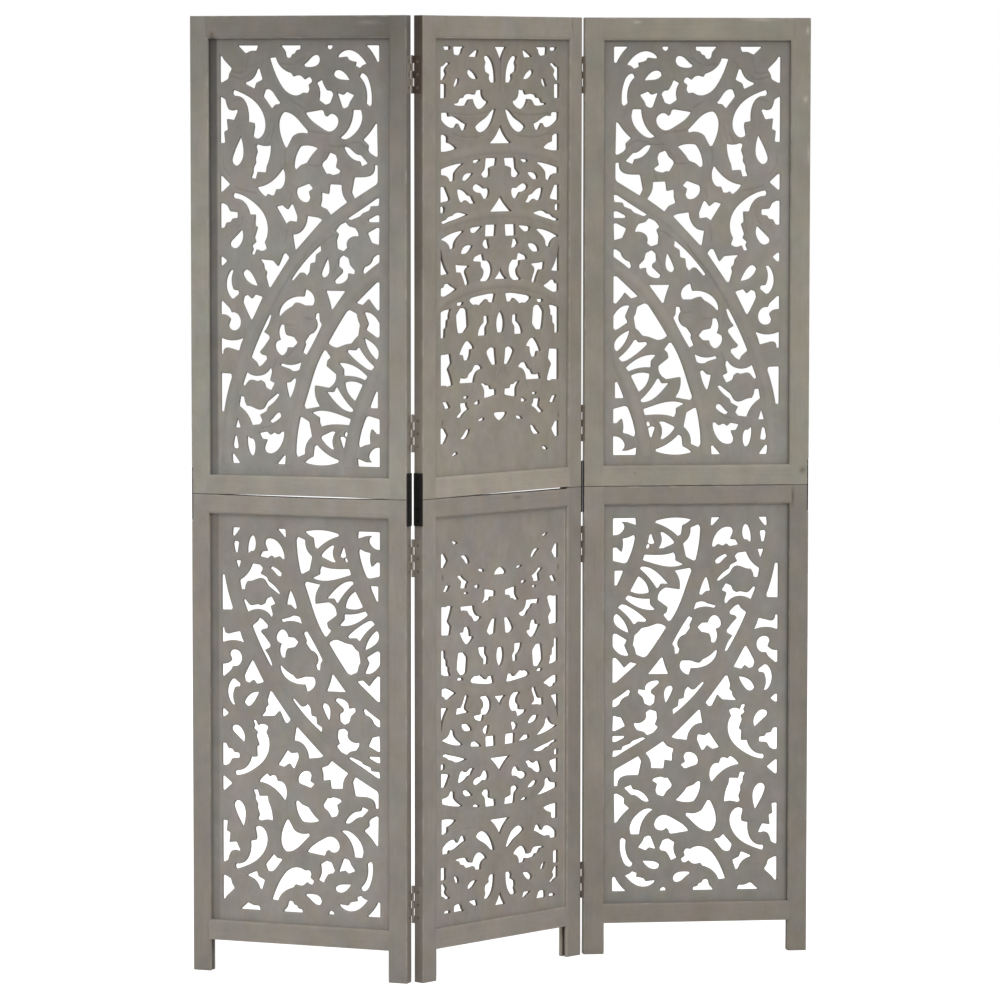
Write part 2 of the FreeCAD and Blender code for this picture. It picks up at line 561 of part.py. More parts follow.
def make_leaf_flat():
    """The flat of a hinge leaf, which is also the shallow mortise that it lies flush in."""
    return block(
        "leaf_flat",
        ("leaf_thickness", "leaf_width", "leaf_height"),
        ("fold_gap / 2", "axis_stand_off", "-leaf_height / 2"),
    )


def make_leaf(name, turns, flat, hole):
    """A hinge leaf with the knuckles whose numbers are in turns, counted from below."""
    step = "(leaf_height + knuckle_gap) / %d" % KNUCKLE_COUNT
    pieces = [flat]
    for turn in turns:
        base = "%d * %s - leaf_height / 2" % (turn, step)
        tall = "%s - knuckle_gap" % step
        pieces.append(rod("%s_knuckle_%d" % (name, turn), "knuckle_radius", tall, ("0", "0", base)))
        pieces.append(
            block(
                "%s_tab_%d" % (name, turn),
                ("leaf_thickness", "axis_stand_off", tall),
                ("fold_gap / 2", "0", base),
            )
        )
    bore = rod(name + "_bore", "pin_radius + pin_clearance", "leaf_height", ("0", "0", "-leaf_height / 2"))
    holes = copies_at(name + "_hole", hole, leaf_screw_places())
    return less(name, together(name + "_blank", pieces), [bore] + holes)


def make_pin():
    """A hinge pin that hangs by its head on the top knuckle."""
    stem = rod("pin_stem", "pin_radius", "leaf_height", ("0", "0", "-leaf_height / 2"))
    head = rod("pin_head", "pin_head_radius", "pin_head_height", ("0", "0", "leaf_height / 2"))
    return together("pin", [stem, head])


def make_plate_mortise():
    """The cut in both stiles' edges that a joining plate lies in, in the plate's frame."""
    return block(
        "plate_mortise",
        ("outer_plate_sink + plate_thickness", "plate_width", "plate_height + 2 * plate_end_play"),
        ("-outer_plate_sink", PLATE_FRONT, "-plate_height / 2 - plate_end_play"),
    )


def make_joining_plate(hole):
    """A flat steel plate that joins the upper and the lower stile on a panel's edge."""
    blank = block(
        "joining_plate_blank",
        ("plate_thickness", "plate_width", "plate_height"),
        ("0", PLATE_FRONT, "-plate_height / 2"),
    )
    holes = copies_at("joining_plate_hole", hole, plate_screw_places())
    return less("joining_plate", blank, holes)


# The frames
HALVES = {
    "upper": {
        "bottom": "seam_height + seam_gap / 2",
        "top": "screen_height",
        "sill": "seam_height + seam_gap / 2",
        "sill_width": "upper_sill_width",
        "head_width": "top_rail_width",
    },
    "lower": {
        "bottom": "0",
        "top": "seam_height - seam_gap / 2",
        "sill": "foot_height",
        "sill_width": "bottom_rail_width",
        "head_width": "lower_head_width",
    },
}


def value(formula):
    """The number that a formula in the sheet's words comes to."""
    return float(sheet.evalExpression(in_sheet(formula)))


def make_stile(name, edge, half, mortises, pilots):
    """An upright of a frame, grooved from end to end, with the edge's mortises and then its pilot holes.

    The mortises and pilots stand along the whole edge, and the ones that miss this stile take nothing.
    """
    ends = HALVES[half]
    length = "%s - (%s)" % (ends["top"], ends["bottom"])
    start = "0" if edge == "left" else "panel_width - stile_width"
    groove_start = "stile_width - groove_depth" if edge == "left" else start
    post = block(name + "_post", ("stile_width", "frame_thickness", length), (start, "0", ends["bottom"]))
    groove = block(
        name + "_groove", ("groove_depth", GROOVE_WIDTH, length), (groove_start, GROOVE_FRONT, ends["bottom"])
    )
    return less(name, less(name + "_blank", post, [groove] + mortises), pilots)


def make_rail(name, bottom, width, groove_on_top):
    """A crosspiece of a frame, with a groove for the board and a stub tenon at each end."""
    tenon_length = "groove_depth - tenon_play"
    tenon_bottom = bottom if groove_on_top else "%s + groove_depth" % bottom
    groove_bottom = "%s + %s - groove_depth" % (bottom, width) if groove_on_top else bottom
    tenon_starts = {"left": "stile_width - (%s)" % tenon_length, "right": "panel_width - stile_width"}
    bar = block(name + "_bar", (SIGHT_WIDTH, "frame_thickness", width), ("stile_width", "0", bottom))
    tenons = [
        block(
            "%s_%s_tenon" % (name, end),
            (tenon_length, "board_thickness", "%s - groove_depth" % width),
            (start, "recess_depth", tenon_bottom),
        )
        for end, start in tenon_starts.items()
    ]
    groove = block(
        name + "_groove",
        (SIGHT_WIDTH, GROOVE_WIDTH, "groove_depth"),
        ("stile_width", GROOVE_FRONT, groove_bottom),
    )
    return less(name, together(name + "_blank", [bar] + tenons), [groove])


# The pierced boards
def each_moved(outline, move):
    """An outline with a function of each point in that point's place."""
    return [[move(point) for point in item] if isinstance(item, list) else move(item) for item in outline]


def mirrored(outline):
    """An outline of the pattern on the other side of its centre line."""
    return each_moved(outline, lambda point: (2 * FIELD_MIDDLE - point[0], point[1]))


def narrowed(outline, share):
    """An outline drawn in from both sides, about its own middle, to a share of its width."""
    places = [point[0] for item in outline for point in (item if isinstance(item, list) else [item])]
    middle = (min(places) + max(places)) / 2
    return each_moved(outline, lambda point: (middle + share * (point[0] - middle), point[1]))


def eased(outline, outwards):
    """An outline with each point moved outwards, square to the line between its two neighbours."""
    points = [point for item in outline for point in (item if isinstance(item, list) else [item])]
    befores, afters = points[-1:] + points[:-1], points[1:] + points[:1]
    double_area = sum(here[0] * after[1] - after[0] * here[1] for here, after in zip(points, afters))
    reach = math.copysign(outwards, outwards * double_area)
    spots = []
    for before, here, after in zip(befores, points, afters):
        run, rise = after[0] - before[0], after[1] - before[1]
        share = reach / math.hypot(run, rise)
        spots.append((here[0] + share * rise, here[1] - share * run))
    spot = iter(spots)
    return [[next(spot) for point in item] if isinstance(item, list) else next(spot) for item in outline]


PATTERNS = {
    "left": [mirrored(outline) for outline in SIDE_OPENINGS],
    "middle": MIDDLE_OPENINGS + [mirrored(outline) for outline in MIDDLE_OPENINGS] + CENTRE_OPENINGS,
    "right": SIDE_OPENINGS,
}


def closed_wire(outline, to_panel):
    """A closed wire from an outline: straight between corners, a smooth curve through each list."""
    corners = outline + outline[:1]
    edges = []
    last, between = to_panel(corners[0]), []
    for item in corners[1:]:
        if isinstance(item, list):
            between = [to_panel(point) for point in item]
            continue
        here = to_panel(item)
        if between:
            curve = Part.BSplineCurve()
            curve.interpolate([last] + between + [here])
        else:
            curve = Part.LineSegment(last, here)
        edges.append(curve.toShape())
        last, between = here, []
    return Part.Wire(edges)


def make_fretwork(name, panel, half):
    """A board that stands in its frame's groove, pierced with the panel's pattern.

    The lower frame has the pattern upside down, fitted to its own field, so that the two halves
    make one round figure about the seam.
    """
    ends = HALVES[half]
    pattern = "middle" if panel == "middle" else "side"
    sill_top = value(ends["sill"]) + size(ends["sill_width"])
    head_bottom = value(ends["top"]) - size(ends["head_width"])
    tongue = size("groove_depth") - size("board_play")
    left, right = size("stile_width") - tongue, size("panel_width") - size("stile_width") + tongue
    bottom, top = sill_top - size("groove_depth"), head_bottom + tongue
    front = size("recess_depth")

    field_bottom = sill_top + size("%s_%s_border_bottom" % (pattern, half))
    field_top = head_bottom - size("%s_%s_border_top" % (pattern, half))
    field_width = value(SIGHT_WIDTH) - 2 * size("border_side")
    wide = field_width / (FIELD_RIGHT - FIELD_LEFT)
    tall = (field_top - field_bottom) / (FIELD_TOP - FIELD_BOTTOM)

    def to_panel(point):
        across = size("panel_width") / 2 + (point[0] - FIELD_MIDDLE) * wide
        rise = (point[1] - FIELD_BOTTOM) * tall
        return Vector(across, front, field_bottom + rise if half == "upper" else field_top - rise)

    rim = Part.makePolygon([
        Vector(left, front, bottom),
        Vector(right, front, bottom),
        Vector(right, front, top),
        Vector(left, front, top),
        Vector(left, front, bottom),
    ])
    face = doc.addObject("Part::Feature", name + "_face")
    ease = size(pattern + "_opening_ease")
    outlines = [eased(outline, ease) for outline in PATTERNS[panel]]
    if pattern == "middle":
        share = size("middle_%s_opening_share" % half)
        outlines = [narrowed(outline, share) for outline in outlines]
    openings = [closed_wire(outline, to_panel) for outline in outlines]
    face.Shape = Part.makeFace([rim] + openings, "Part::FaceMakerBullseye")
    board = doc.addObject("Part::Extrusion", name)
    board.Base = face
    board.DirMode = "Custom"
    board.Dir = Vector(0, 1, 0)
    board.Solid = True
    bind(board, LengthFwd="board_thickness")
    return board


# The whole screen
nodes = {}
places = panel_places()
screw, screw_hole = make_screw()
pin = make_pin()
plate_mortise = make_plate_mortise()
joining_plate = make_joining_plate(screw_hole)
leaf_flat = make_leaf_flat()
three_knuckle_leaf = make_leaf("three_knuckle_leaf", (0, 2, 4), leaf_flat, screw_hole)
two_knuckle_leaf = make_leaf("two_knuckle_leaf", (1, 3), leaf_flat, screw_hole)


def add_node(name, thing, place):
    """Name a finished piece and stand it in the screen."""
    thing.Label = name
    thing.Placement = place
    nodes[name] = thing


for panel in PANELS:
    hinge_screws, plate_screws = [], []
    for edge in EDGES:
        name = "%s_%s" % (panel, edge)
        mortises = copies_at(name + "_leaf_mortise", leaf_flat, edge_leaf_places(panel, edge))
        mortises += copies_at(name + "_plate_mortise", plate_mortise, [plate_place(panel, edge)])
        screws = hinge_screw_places(panel, edge) + edge_plate_screw_places(panel, edge)
        pilots = copies_at(name + "_pilot", screw_hole, screws)
        for half in HALVES:
            stile_name = "%s_%s_%s_stile" % (panel, half, edge)
            add_node(stile_name, make_stile(stile_name, edge, half, mortises, pilots), places[panel])
        hinge_screws += hinge_screw_places(panel, edge)
        plate_screws += edge_plate_screw_places(panel, edge)
        plate_name = name + "_joining_plate"
        add_node(plate_name, group(plate_name, [joining_plate]), places[panel] * plate_place(panel, edge))
    for half, ends in HALVES.items():
        frame = "%s_%s_" % (panel, half)
        head = "%s - %s" % (ends["top"], ends["head_width"])
        top_rail = make_rail(frame + "top_rail", head, ends["head_width"], groove_on_top=False)
        add_node(frame + "top_rail", top_rail, places[panel])
        sill = make_rail(frame + "bottom_rail", ends["sill"], ends["sill_width"], groove_on_top=True)
        add_node(frame + "bottom_rail", sill, places[panel])
        add_node(frame + "fretwork", make_fretwork(frame + "fretwork", panel, half), places[panel])
    for fold, edge, face in hinge_edges(panel):
        leaf = three_knuckle_leaf if panel == "middle" else two_knuckle_leaf
        for number, height in enumerate(HINGE_HEIGHTS, start=1):
            name = "%s_fold_hinge_%d_%s_leaf" % (fold, number, panel)
            add_node(name, group(name, [leaf]), places[panel] * leaf_place(edge, face, height))
    for kind, screws in (("hinge", hinge_screws), ("plate", plate_screws)):
        name = "%s_%s_screws" % (panel, kind)
        add_node(name, group(name, copies_at(name, screw, screws)), places[panel])

for fold, face in FOLD_FACE.items():
    name = fold + "_fold_hinge_pins"
    pin_line = fold_axis(fold, face)
    copies = copies_at(name, pin, [moved(pin_line.x, pin_line.y, height) for height in HINGE_HEIGHTS])
    add_node(name, group(name, copies), places["middle"])
doc.recompute()

# Stop before anything is written if a feature failed or a shape is broken.
for thing in doc.Objects:
    if "Invalid" in thing.State or "Error" in thing.State:
        raise RuntimeError("feature failed: " + thing.Label)
for name, thing in nodes.items():
    if thing.Shape.isNull() or not thing.Shape.isValid():
        raise RuntimeError("broken shape: " + name)

os.makedirs("parts", exist_ok=True)
for name, thing in nodes.items():
    thing.Shape.exportStep("parts/%s.step" % name)

for fold, face in FOLD_FACE.items():
    point = places["middle"].multVec(fold_axis(fold, face))
    print("%s fold pin line at x %.4f y %.4f" % (fold, point.x, point.y))
print("%d pieces written" % len(nodes))
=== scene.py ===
# %% [markdown]
# # A folding screen with carved boards
# The screen is three wooden panels in a zigzag. A panel is two frames, one above the other, and each
# frame holds a pierced board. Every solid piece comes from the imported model, in metres, standing where
# it stands on the floor. This lesson dresses those pieces: the boards get their carving, the frames get
# worn arrises, and every piece gets its finish.

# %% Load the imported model
import math

import bpy
import numpy as np
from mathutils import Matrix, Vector
from mathutils.geometry import delaunay_2d_cdt


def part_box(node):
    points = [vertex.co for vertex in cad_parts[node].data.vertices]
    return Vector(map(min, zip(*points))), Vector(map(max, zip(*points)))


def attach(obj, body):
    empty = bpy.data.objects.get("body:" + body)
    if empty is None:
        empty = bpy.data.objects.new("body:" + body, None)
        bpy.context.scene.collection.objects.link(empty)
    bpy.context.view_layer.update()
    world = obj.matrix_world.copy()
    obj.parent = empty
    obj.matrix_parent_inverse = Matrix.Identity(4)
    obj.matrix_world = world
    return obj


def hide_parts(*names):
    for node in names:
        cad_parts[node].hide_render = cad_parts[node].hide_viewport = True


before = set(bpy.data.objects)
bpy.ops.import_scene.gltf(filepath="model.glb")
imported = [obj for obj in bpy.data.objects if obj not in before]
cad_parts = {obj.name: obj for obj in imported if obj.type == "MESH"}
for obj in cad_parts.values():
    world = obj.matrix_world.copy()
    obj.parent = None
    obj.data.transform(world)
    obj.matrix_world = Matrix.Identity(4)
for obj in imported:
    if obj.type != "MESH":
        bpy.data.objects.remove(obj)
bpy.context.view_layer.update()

# %% [markdown]
# ## The camera
# The photograph was taken from far away with a long lens: the panels' tops and bottoms hardly
# converge. A camera was fitted to the corners of the three panels, and its distance, height and tilt
# are written here.

# %% Camera
CAMERA_PLACE = (-0.00679, -8.87134, 1.5345)
CAMERA_DOWN = math.radians(4.632)
CAMERA_ROLL = math.radians(-0.034)
CAMERA_LENS = 184.9
SENSOR_WIDTH = 36.0
CAMERA_REACH = 60.0

scene = bpy.context.scene
camera_data = bpy.data.cameras.new("camera")
camera_data.lens = CAMERA_LENS
camera_data.sensor_width = SENSOR_WIDTH
camera_data.clip_end = CAMERA_REACH
camera = bpy.data.objects.new("camera", camera_data)
camera.location = CAMERA_PLACE
camera.rotation_euler = (math.pi / 2 - CAMERA_DOWN, CAMERA_ROLL, 0)
scene.collection.objects.link(camera)
scene.camera = camera
scene.view_settings.view_transform = "Standard"
print("camera at", CAMERA_PLACE)

# %% [markdown]
# ## Shader sums
# A finish is a small graph of nodes. Wiring each node by hand takes many lines, so one class wraps a
# socket: sums on it become Math nodes, and its one method makes every other kind of node.


# %% A wire of a finish
class Wire:
    """An output socket in a finish. Sums on wires become Math nodes."""

    def __init__(self, tree, socket=None):
        self.tree, self.socket = tree, socket

    def node(self, kind, settings=None, sockets=None, output=0):
        """Make a node: its settings first, then a value or a wire for each socket named."""
        made = self.tree.nodes.new(kind)
        for word, setting in (settings or {}).items():
            setattr(made, word, setting)
        for word, value in (sockets or {}).items():
            if isinstance(value, Wire):
                self.tree.links.new(value.socket, made.inputs[word])
            else:
                made.inputs[word].default_value = value
        return Wire(self.tree, made.outputs[output])

    def sum(self, operation, first, second=0.0):
        """A Math node on two wires or numbers."""
        return self.node("ShaderNodeMath", {"operation": operation}, {0: first, 1: second})

    def __add__(self, other):
        return self.sum("ADD", self, other)

    __radd__ = __add__

    def __sub__(self, other):
        return self.sum("SUBTRACT", self, other)

    def __rsub__(self, other):
        return self.sum("SUBTRACT", other, self)

    def __mul__(self, other):
        return self.sum("MULTIPLY", self, other)

    __rmul__ = __mul__

    def between(self, low, high):
        """A smooth step: 0 at low, 1 at high."""
        limits = {"Value": self, "From Min": low, "From Max": high}
        return self.node("ShaderNodeMapRange", {"interpolation_type": "SMOOTHSTEP"}, limits)

    def mixed(self, first, second):
        """The first colour where this wire is 0 and the second where it is 1."""
        return self.node("ShaderNodeMix", {"data_type": "RGBA"}, {0: self, 6: first, 7: second}, output=2)

    def grey(self):
        """A colour with this wire as its red, its green and its blue."""
        return self.node("ShaderNodeCombineColor", None, {"Red": self, "Green": self, "Blue": self})

    def lit(self, colour):
        """A colour made lighter or darker by this wire."""
        settings = {"data_type": "RGBA", "blend_type": "MULTIPLY"}
        return self.node("ShaderNodeMix", settings, {0: 1.0, 6: colour, 7: self.grey()}, output=2)

    def stretched(self, scale):
        """These coordinates multiplied by three numbers."""
        return self.node("ShaderNodeVectorMath", {"operation": "MULTIPLY"}, {0: self, 1: scale})

    def noise(self, scale, detail=3.0, roughness=0.5):
        """Smooth noise from 0 to 1 over these coordinates, stretched by three numbers."""
        sockets = {"Vector": self.stretched(scale), "Scale": 1.0, "Detail": detail, "Roughness": roughness}
        return self.node("ShaderNodeTexNoise", None, sockets)

    def bump(self, strength, distance):
        """A normal that leans as if this wire were a height."""
        sockets = {"Strength": strength, "Distance": distance, "Height": self}
        return self.node("ShaderNodeBump", None, sockets)


def tone(red, green, blue):
    """A colour given as it shows on a screen, from 0 to 255, in the linear numbers of a shader."""
    parts = np.array([red, green, blue]) / 255
    linear = np.where(parts > 0.04045, ((parts + 0.055) / 1.055) ** 2.4, parts / 12.92)
    return (*linear.tolist(), 1.0)


def new_finish(name, **constants):
    """A material with its Principled shader's constant sockets set, and a wire to start from."""
    material = bpy.data.materials.new(name)
    material.use_nodes = True
    shader = material.node_tree.nodes["Principled BSDF"]
    for word, value in constants.items():
        shader.inputs[word.replace("_", " ")].default_value = value
    return material, shader, Wire(material.node_tree)


def feed(shader, **wires):
    """Link wires to a shader's sockets, each by its name with spaces for underscores."""
    for word, wire in wires.items():
        wire.tree.links.new(wire.socket, shader.inputs[word.replace("_", " ")])


def attribute(start, name, output="Fac"):
    """A wire that reads one of the mesh's own attributes."""
    return start.node("ShaderNodeAttribute", {"attribute_name": name}, output=output)


print("a mid grey in linear numbers:", tone(128, 128, 128))

# %% [markdown]
# ## The washed wood of the frames
# The battens are a light hardwood under a thin warm grey wash. The wash pools in long soft blotches, the
# grain shows through as streaks along each batten, and the arrises are rubbed paler. A batten carries its
# own coordinates in an attribute, along, across and through the wood, so the streaks turn with the batten.
# The wash is never one colour: it drifts between cool and warm and between bluish and yellowish, about a
# mean that each piece has in two attributes.

# %% Frame wood
COOL_WASHES = (tone(135, 134, 130), tone(135, 134, 120))
WARM_WASHES = (tone(143, 133, 129), tone(143, 133, 119))
HUE_SPREAD = 1.8
WASH_PALE = tone(178, 172, 161)
# The bare edge colour is bare wood and painted shade.
BARE_EDGE_AND_SHADE = tone(66, 54, 47)
# The smudge colour is dirt, and in places painted shadow.
SMUDGE_AND_SHADE = tone(84, 76, 68)


def wash_colour(start, coordinates, scale):
    """The wash between four colours, by the piece's own warmth and yellowness and a noise about each."""
    shifts = [HUE_SPREAD * (coordinates.noise(pitch) - 0.5) for pitch in (scale, np.multiply(scale, 1.4))]
    warm, yellow = (attribute(start, word) + shift for word, shift in zip(("warm", "yellow"), shifts))
    return warm.mixed(yellow.mixed(*COOL_WASHES), yellow.mixed(*WARM_WASHES))


frame_wood, shader, start = new_finish("frame_wood", IOR=1.45, Specular_IOR_Level=0.35)
grain = attribute(start, "grain", "Vector")
spot = attribute(start, "spot", "Vector")
blotch = spot.noise((9.0, 9.0, 6.0), 4.0)
patch = spot.noise((26.0, 26.0, 20.0), 4.0, 0.6)
streak = grain.noise((7.0, 260.0, 260.0), 5.0, 0.65)
pore = grain.noise((40.0, 1500.0, 1500.0), 2.0)
rub = attribute(start, "arris") * grain.noise((45.0, 60.0, 60.0), 3.0).between(0.45, 0.7)
level = 0.5 + 0.36 * blotch + 0.2 * streak + 0.44 * patch
# The tone attribute is the wash and painted light and shade together: battens darker towards the top of the
# screen, sills lighter, and some rounded inner edges painted lighter.
level = level * (1.0 - 0.12 * pore.between(0.54, 0.75)) * attribute(start, "tone")
colour = level.lit(wash_colour(start, spot, (20.0, 20.0, 14.0)))
colour = (rub * 0.3).mixed(colour, WASH_PALE)
# The outer edges darken towards bare wood. On the middle panel's hinged edge beside the left panel this is
# bare wood and painted shade, and in the groove it is painted shade.
colour = (attribute(start, "bare") * (0.7 + 0.5 * streak)).mixed(colour, BARE_EDGE_AND_SHADE)
# Smudges are dark marks; on the left top rail the smudge is painted shadow that carries the left board's dark
# strip up.
colour = attribute(start, "smudge").mixed(colour, SMUDGE_AND_SHADE)
colour = attribute(start, "scuff").mixed(colour, WASH_PALE)
height = 0.7 * streak + 0.5 * pore + 0.4 * blotch
feed(shader, Base_Color=colour, Roughness=0.56 + 0.2 * streak - 0.08 * rub, Normal=height.bump(0.35, 0.0006))
print("frame wood nodes:", len(frame_wood.node_tree.nodes))

# %% [markdown]
# ## The finish of the boards
# The boards are pierced and carved panels under the same wash, a little greyer. Pigment stays in the
# carved lines, the walls of the openings are painted darker as shade, and the raised bands carry a painted
# highlight.
# The carving writes its height and its walls into two attributes that this finish reads.

# %% Board finish
LINE_DARK = tone(88, 80, 72)
WALL_SHADE = tone(92, 82, 73)

board_finish, shader, start = new_finish("board_wash", IOR=1.45, Specular_IOR_Level=0.3)
grain = attribute(start, "grain", "Vector")
blotch = grain.noise((13.0, 9.0, 13.0), 4.0)
patch = grain.noise((40.0, 30.0, 40.0), 4.0, 0.6)
streak = grain.noise((170.0, 12.0, 170.0), 4.0, 0.6)
brush = grain.noise((420.0, 60.0, 420.0), 3.0)
carve = attribute(start, "carve")
level = 0.53 + 0.34 * blotch + 0.42 * patch + 0.1 * streak + 0.1 * brush
# The tone attribute carries the board's painted shade and light: shade towards the frame, the strip and the
# slots, and a tone by height.
level = level * attribute(start, "tone")
colour = level.lit(wash_colour(start, grain, (22.0, 18.0, 22.0)))
colour = ((0.0 - carve).between(0.05, 0.5) * 0.24).mixed(colour, LINE_DARK)
# The raised bands are made a little paler: a painted highlight.
colour = (carve.between(0.4, 1.2) * 0.08).mixed(colour, WASH_PALE)
# The walls of the openings and their front rims are painted darker: painted shade.
colour = (attribute(start, "cut") * 0.9).mixed(colour, WALL_SHADE)
height = 0.3 * streak + 0.4 * brush + 0.5 * blotch + 0.4 * patch
feed(shader, Base_Color=colour, Roughness=0.6 + 0.16 * streak, Normal=height.bump(0.3, 0.0005))
print("board finish nodes:", len(board_finish.node_tree.nodes))

# %% [markdown]
# ## Panels and their own axes
# A panel stands turned about the upright, so its pieces are worked out in its own axes: across from its
# left edge, deep from its front face, up from the floor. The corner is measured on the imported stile, so
# only the three plan angles are written here.

# %% Panel axes
PANEL_ANGLES = {"left": -20.94, "middle": 46.71, "right": 6.73}
HALVES = ("upper", "lower")
PANEL_WIDTH = 0.4
FRAME_THICKNESS = 0.020
UPRIGHT = np.array([0.0, 0.0, 1.0])


def node_points(node):
    """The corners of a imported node's triangles, one row each."""
    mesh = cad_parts[node].data
    points = np.empty(len(mesh.vertices) * 3)
    mesh.vertices.foreach_get("co", points)
    return points.reshape(-1, 3)


class Panel:
    """A panel's own axes: across from its left edge, deep from its front face, and up."""

    def __init__(self, name):
        angle = math.radians(PANEL_ANGLES[name])
        self.name = name
        self.across = np.array([math.cos(angle), math.sin(angle), 0.0])
        self.deep = np.array([-math.sin(angle), math.cos(angle), 0.0])
        stile = node_points(name + "_lower_left_stile")
        self.corner = (stile @ self.across).min() * self.across + (stile @ self.deep).min() * self.deep

    def place(self, across, deep, up):
        """Points in the scene from their three distances along the panel's axes."""
        steps = zip((across, deep, up), (self.across, self.deep, UPRIGHT))
        return self.corner + sum(np.asarray(reach)[..., None] * axis for reach, axis in steps)

    def measure(self, points):
        """The three distances of points along the panel's axes."""
        return (points - self.corner) @ np.stack([self.across, self.deep, UPRIGHT], axis=1)


panels = {name: Panel(name) for name in PANEL_ANGLES}
for name, panel in panels.items():
    print(name, "corner", np.round(panel.corner, 4))

# %% [markdown]
# ## From arrays to a piece
# Every new piece is worked out as whole arrays. One function puts the arrays into a mesh, turns the faces
# outwards by the sign of the volume that they close, and lets the piece ride on its panel.


# %% Make a piece
SHARP_ANGLE = math.radians(42)
print("edges show as sharp from", round(math.degrees(SHARP_ANGLE)), "degrees")


def closed_volume(points, triangles):
    """Six times the volume inside triangles: the sum of each one's box product with the origin."""
    first, second, third = (points[triangles[:, i]] for i in range(3))
    return np.einsum("ij,ij->", first, np.cross(second, third))


def make_piece(name, points, rings, finish, node, body, attributes):
    """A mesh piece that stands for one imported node: rings are arrays of faces with the same corner count."""
    fans = [ring[:, [0, i, i + 1]] for ring in rings for i in range(1, ring.shape[1] - 1)]
    middle = points.mean(axis=0)
    inside_out = closed_volume(points - middle, np.concatenate(fans)) < 0
    faces = [face for ring in rings for face in (ring[:, ::-1] if inside_out else ring).tolist()]
    mesh = bpy.data.meshes.new(name)
    mesh.from_pydata(points.tolist(), [], faces)
    for word, numbers in attributes.items():
        kind, field = ("FLOAT_VECTOR", "vector") if numbers.ndim == 2 else ("FLOAT", "value")
        layer = mesh.attributes.new(word, kind, "POINT")
        layer.data.foreach_set(field, numbers.astype(np.float32).ravel())
    mesh.materials.append(finish)
    mesh.shade_smooth()
    mesh.set_sharp_from_angle(angle=SHARP_ANGLE)
    piece = bpy.data.objects.new(name, mesh)
    scene.collection.objects.link(piece)
    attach(piece, body)
    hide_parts(node)
    return piece


# %% [markdown]
# ## Battens of the frames
# A batten is a planed bar with a groove for the board along its inner side. Hand tools and years of
# handling leave its arrises rounded and its faces a little uneven, which catches the light along a frame.
# The bar's section is drawn once as a closed outline and carried along the batten; each point moves along
# its normal by a sum of slow waves, and the last few stations draw in to round the ends.

# %% The section of a batten
RECESS = 0.006
GROOVE = (0.0059, 0.0131)
GROOVE_DEPTH = 0.008
ARRIS = 0.0016
INNER_ARRIS = 0.0042
BACK_ARRIS = 0.0005
ARC_STEPS = 5
FRONT_STEPS, BACK_STEPS, SIDE_STEPS = 20, 7, 5
STILE_WIDTH = 0.0355


def run(start, end, count):
    """Points along a straight line from start, without its end."""
    share = np.linspace(0, 1, count, endpoint=False)[:, None]
    return np.array(start) + share * (np.array(end) - np.array(start))


def corner(centre, radius, first_turn):
    """A quarter circle about a centre, counterclockwise from a number of quarter turns."""
    turn = (first_turn + np.linspace(0, 1, ARC_STEPS)) * math.pi / 2
    return np.array(centre) + radius * np.stack([np.cos(turn), np.sin(turn)], axis=1)


def batten_section(width):
    """A batten's closed section: across from its outer side, deep from its front, with a groove inside."""
    far, back, radius = width, FRAME_THICKNESS, ARRIS
    parts = [
        corner((radius, radius), radius, 2),
        run((radius, 0), (far - INNER_ARRIS, 0), FRONT_STEPS)[1:],
        corner((far - INNER_ARRIS, INNER_ARRIS), INNER_ARRIS, 3),
        np.array([
            (far, GROOVE[0]),
            (far - GROOVE_DEPTH, GROOVE[0]),
            (far - GROOVE_DEPTH, GROOVE[1]),
            (far, GROOVE[1]),
        ]),
        corner((far - radius, back - radius), radius, 0),
        run((far - radius, back), (BACK_ARRIS, back), BACK_STEPS)[1:],
        corner((BACK_ARRIS, back - BACK_ARRIS), BACK_ARRIS, 1),
        run((0, back - BACK_ARRIS), (0, radius), SIDE_STEPS)[1:],
    ]
    return np.concatenate(parts)


def left_of(steps):
    """Unit vectors at right angles to some steps, on their left."""
    side = np.stack([-steps[:, 1], steps[:, 0]], axis=1)
    return side / np.linalg.norm(side, axis=1, keepdims=True)


def outward_normals(outline):
    """Unit normals of a closed counterclockwise outline, from the chord between each point's neighbours."""
    return -left_of(np.roll(outline, -1, axis=0) - np.roll(outline, 1, axis=0))


print("points in a section:", len(batten_section(STILE_WIDTH)))

# %% [markdown]
# No batten is quite true. Its faces are uneven by a tenth of a millimetre or so, its inner side may stand in
# or out a little towards either end, and a rail at the seam bows into the gap or away from it. A stile is set
# back where a joining plate lies. Each station along the batten is one copy of the section, moved that way.

# %% The shape of a batten
FULL_TURN = 6.28
STATION_STEP = 0.012
FEWEST_STATIONS = 4
STATION_CLEAR = 0.005
STILE_END = 0.0012
RAIL_END = 0.0001
WAVE_HEIGHT = 0.00007
WAVES = 5
EDGE_SINK = 0.00015
PLATE_REACH = 0.0465
PLATE_STEP = 0.0004
SEAM = 0.830
MARK_STEPS = np.linspace(-2, 2, 9)


def stations(length, end_round, extra):
    """Places along a batten and how far the section is drawn in there, to round both ends."""
    turn = np.linspace(0, math.pi / 2, 4)
    lead, draw = end_round * (1 - np.cos(turn)), end_round * (1 - np.sin(turn))
    count = max(int(length / STATION_STEP), FEWEST_STATIONS)
    inner = np.linspace(end_round, length - end_round, count)[1:-1]
    extra = [spot for spot in extra if STATION_CLEAR < spot < length - STATION_CLEAR]
    inner = np.unique(np.round(np.concatenate([inner, extra]), 5))
    along = np.concatenate([lead, inner, length - lead[::-1]])
    return along, np.concatenate([draw, np.zeros(len(inner)), draw[::-1]])


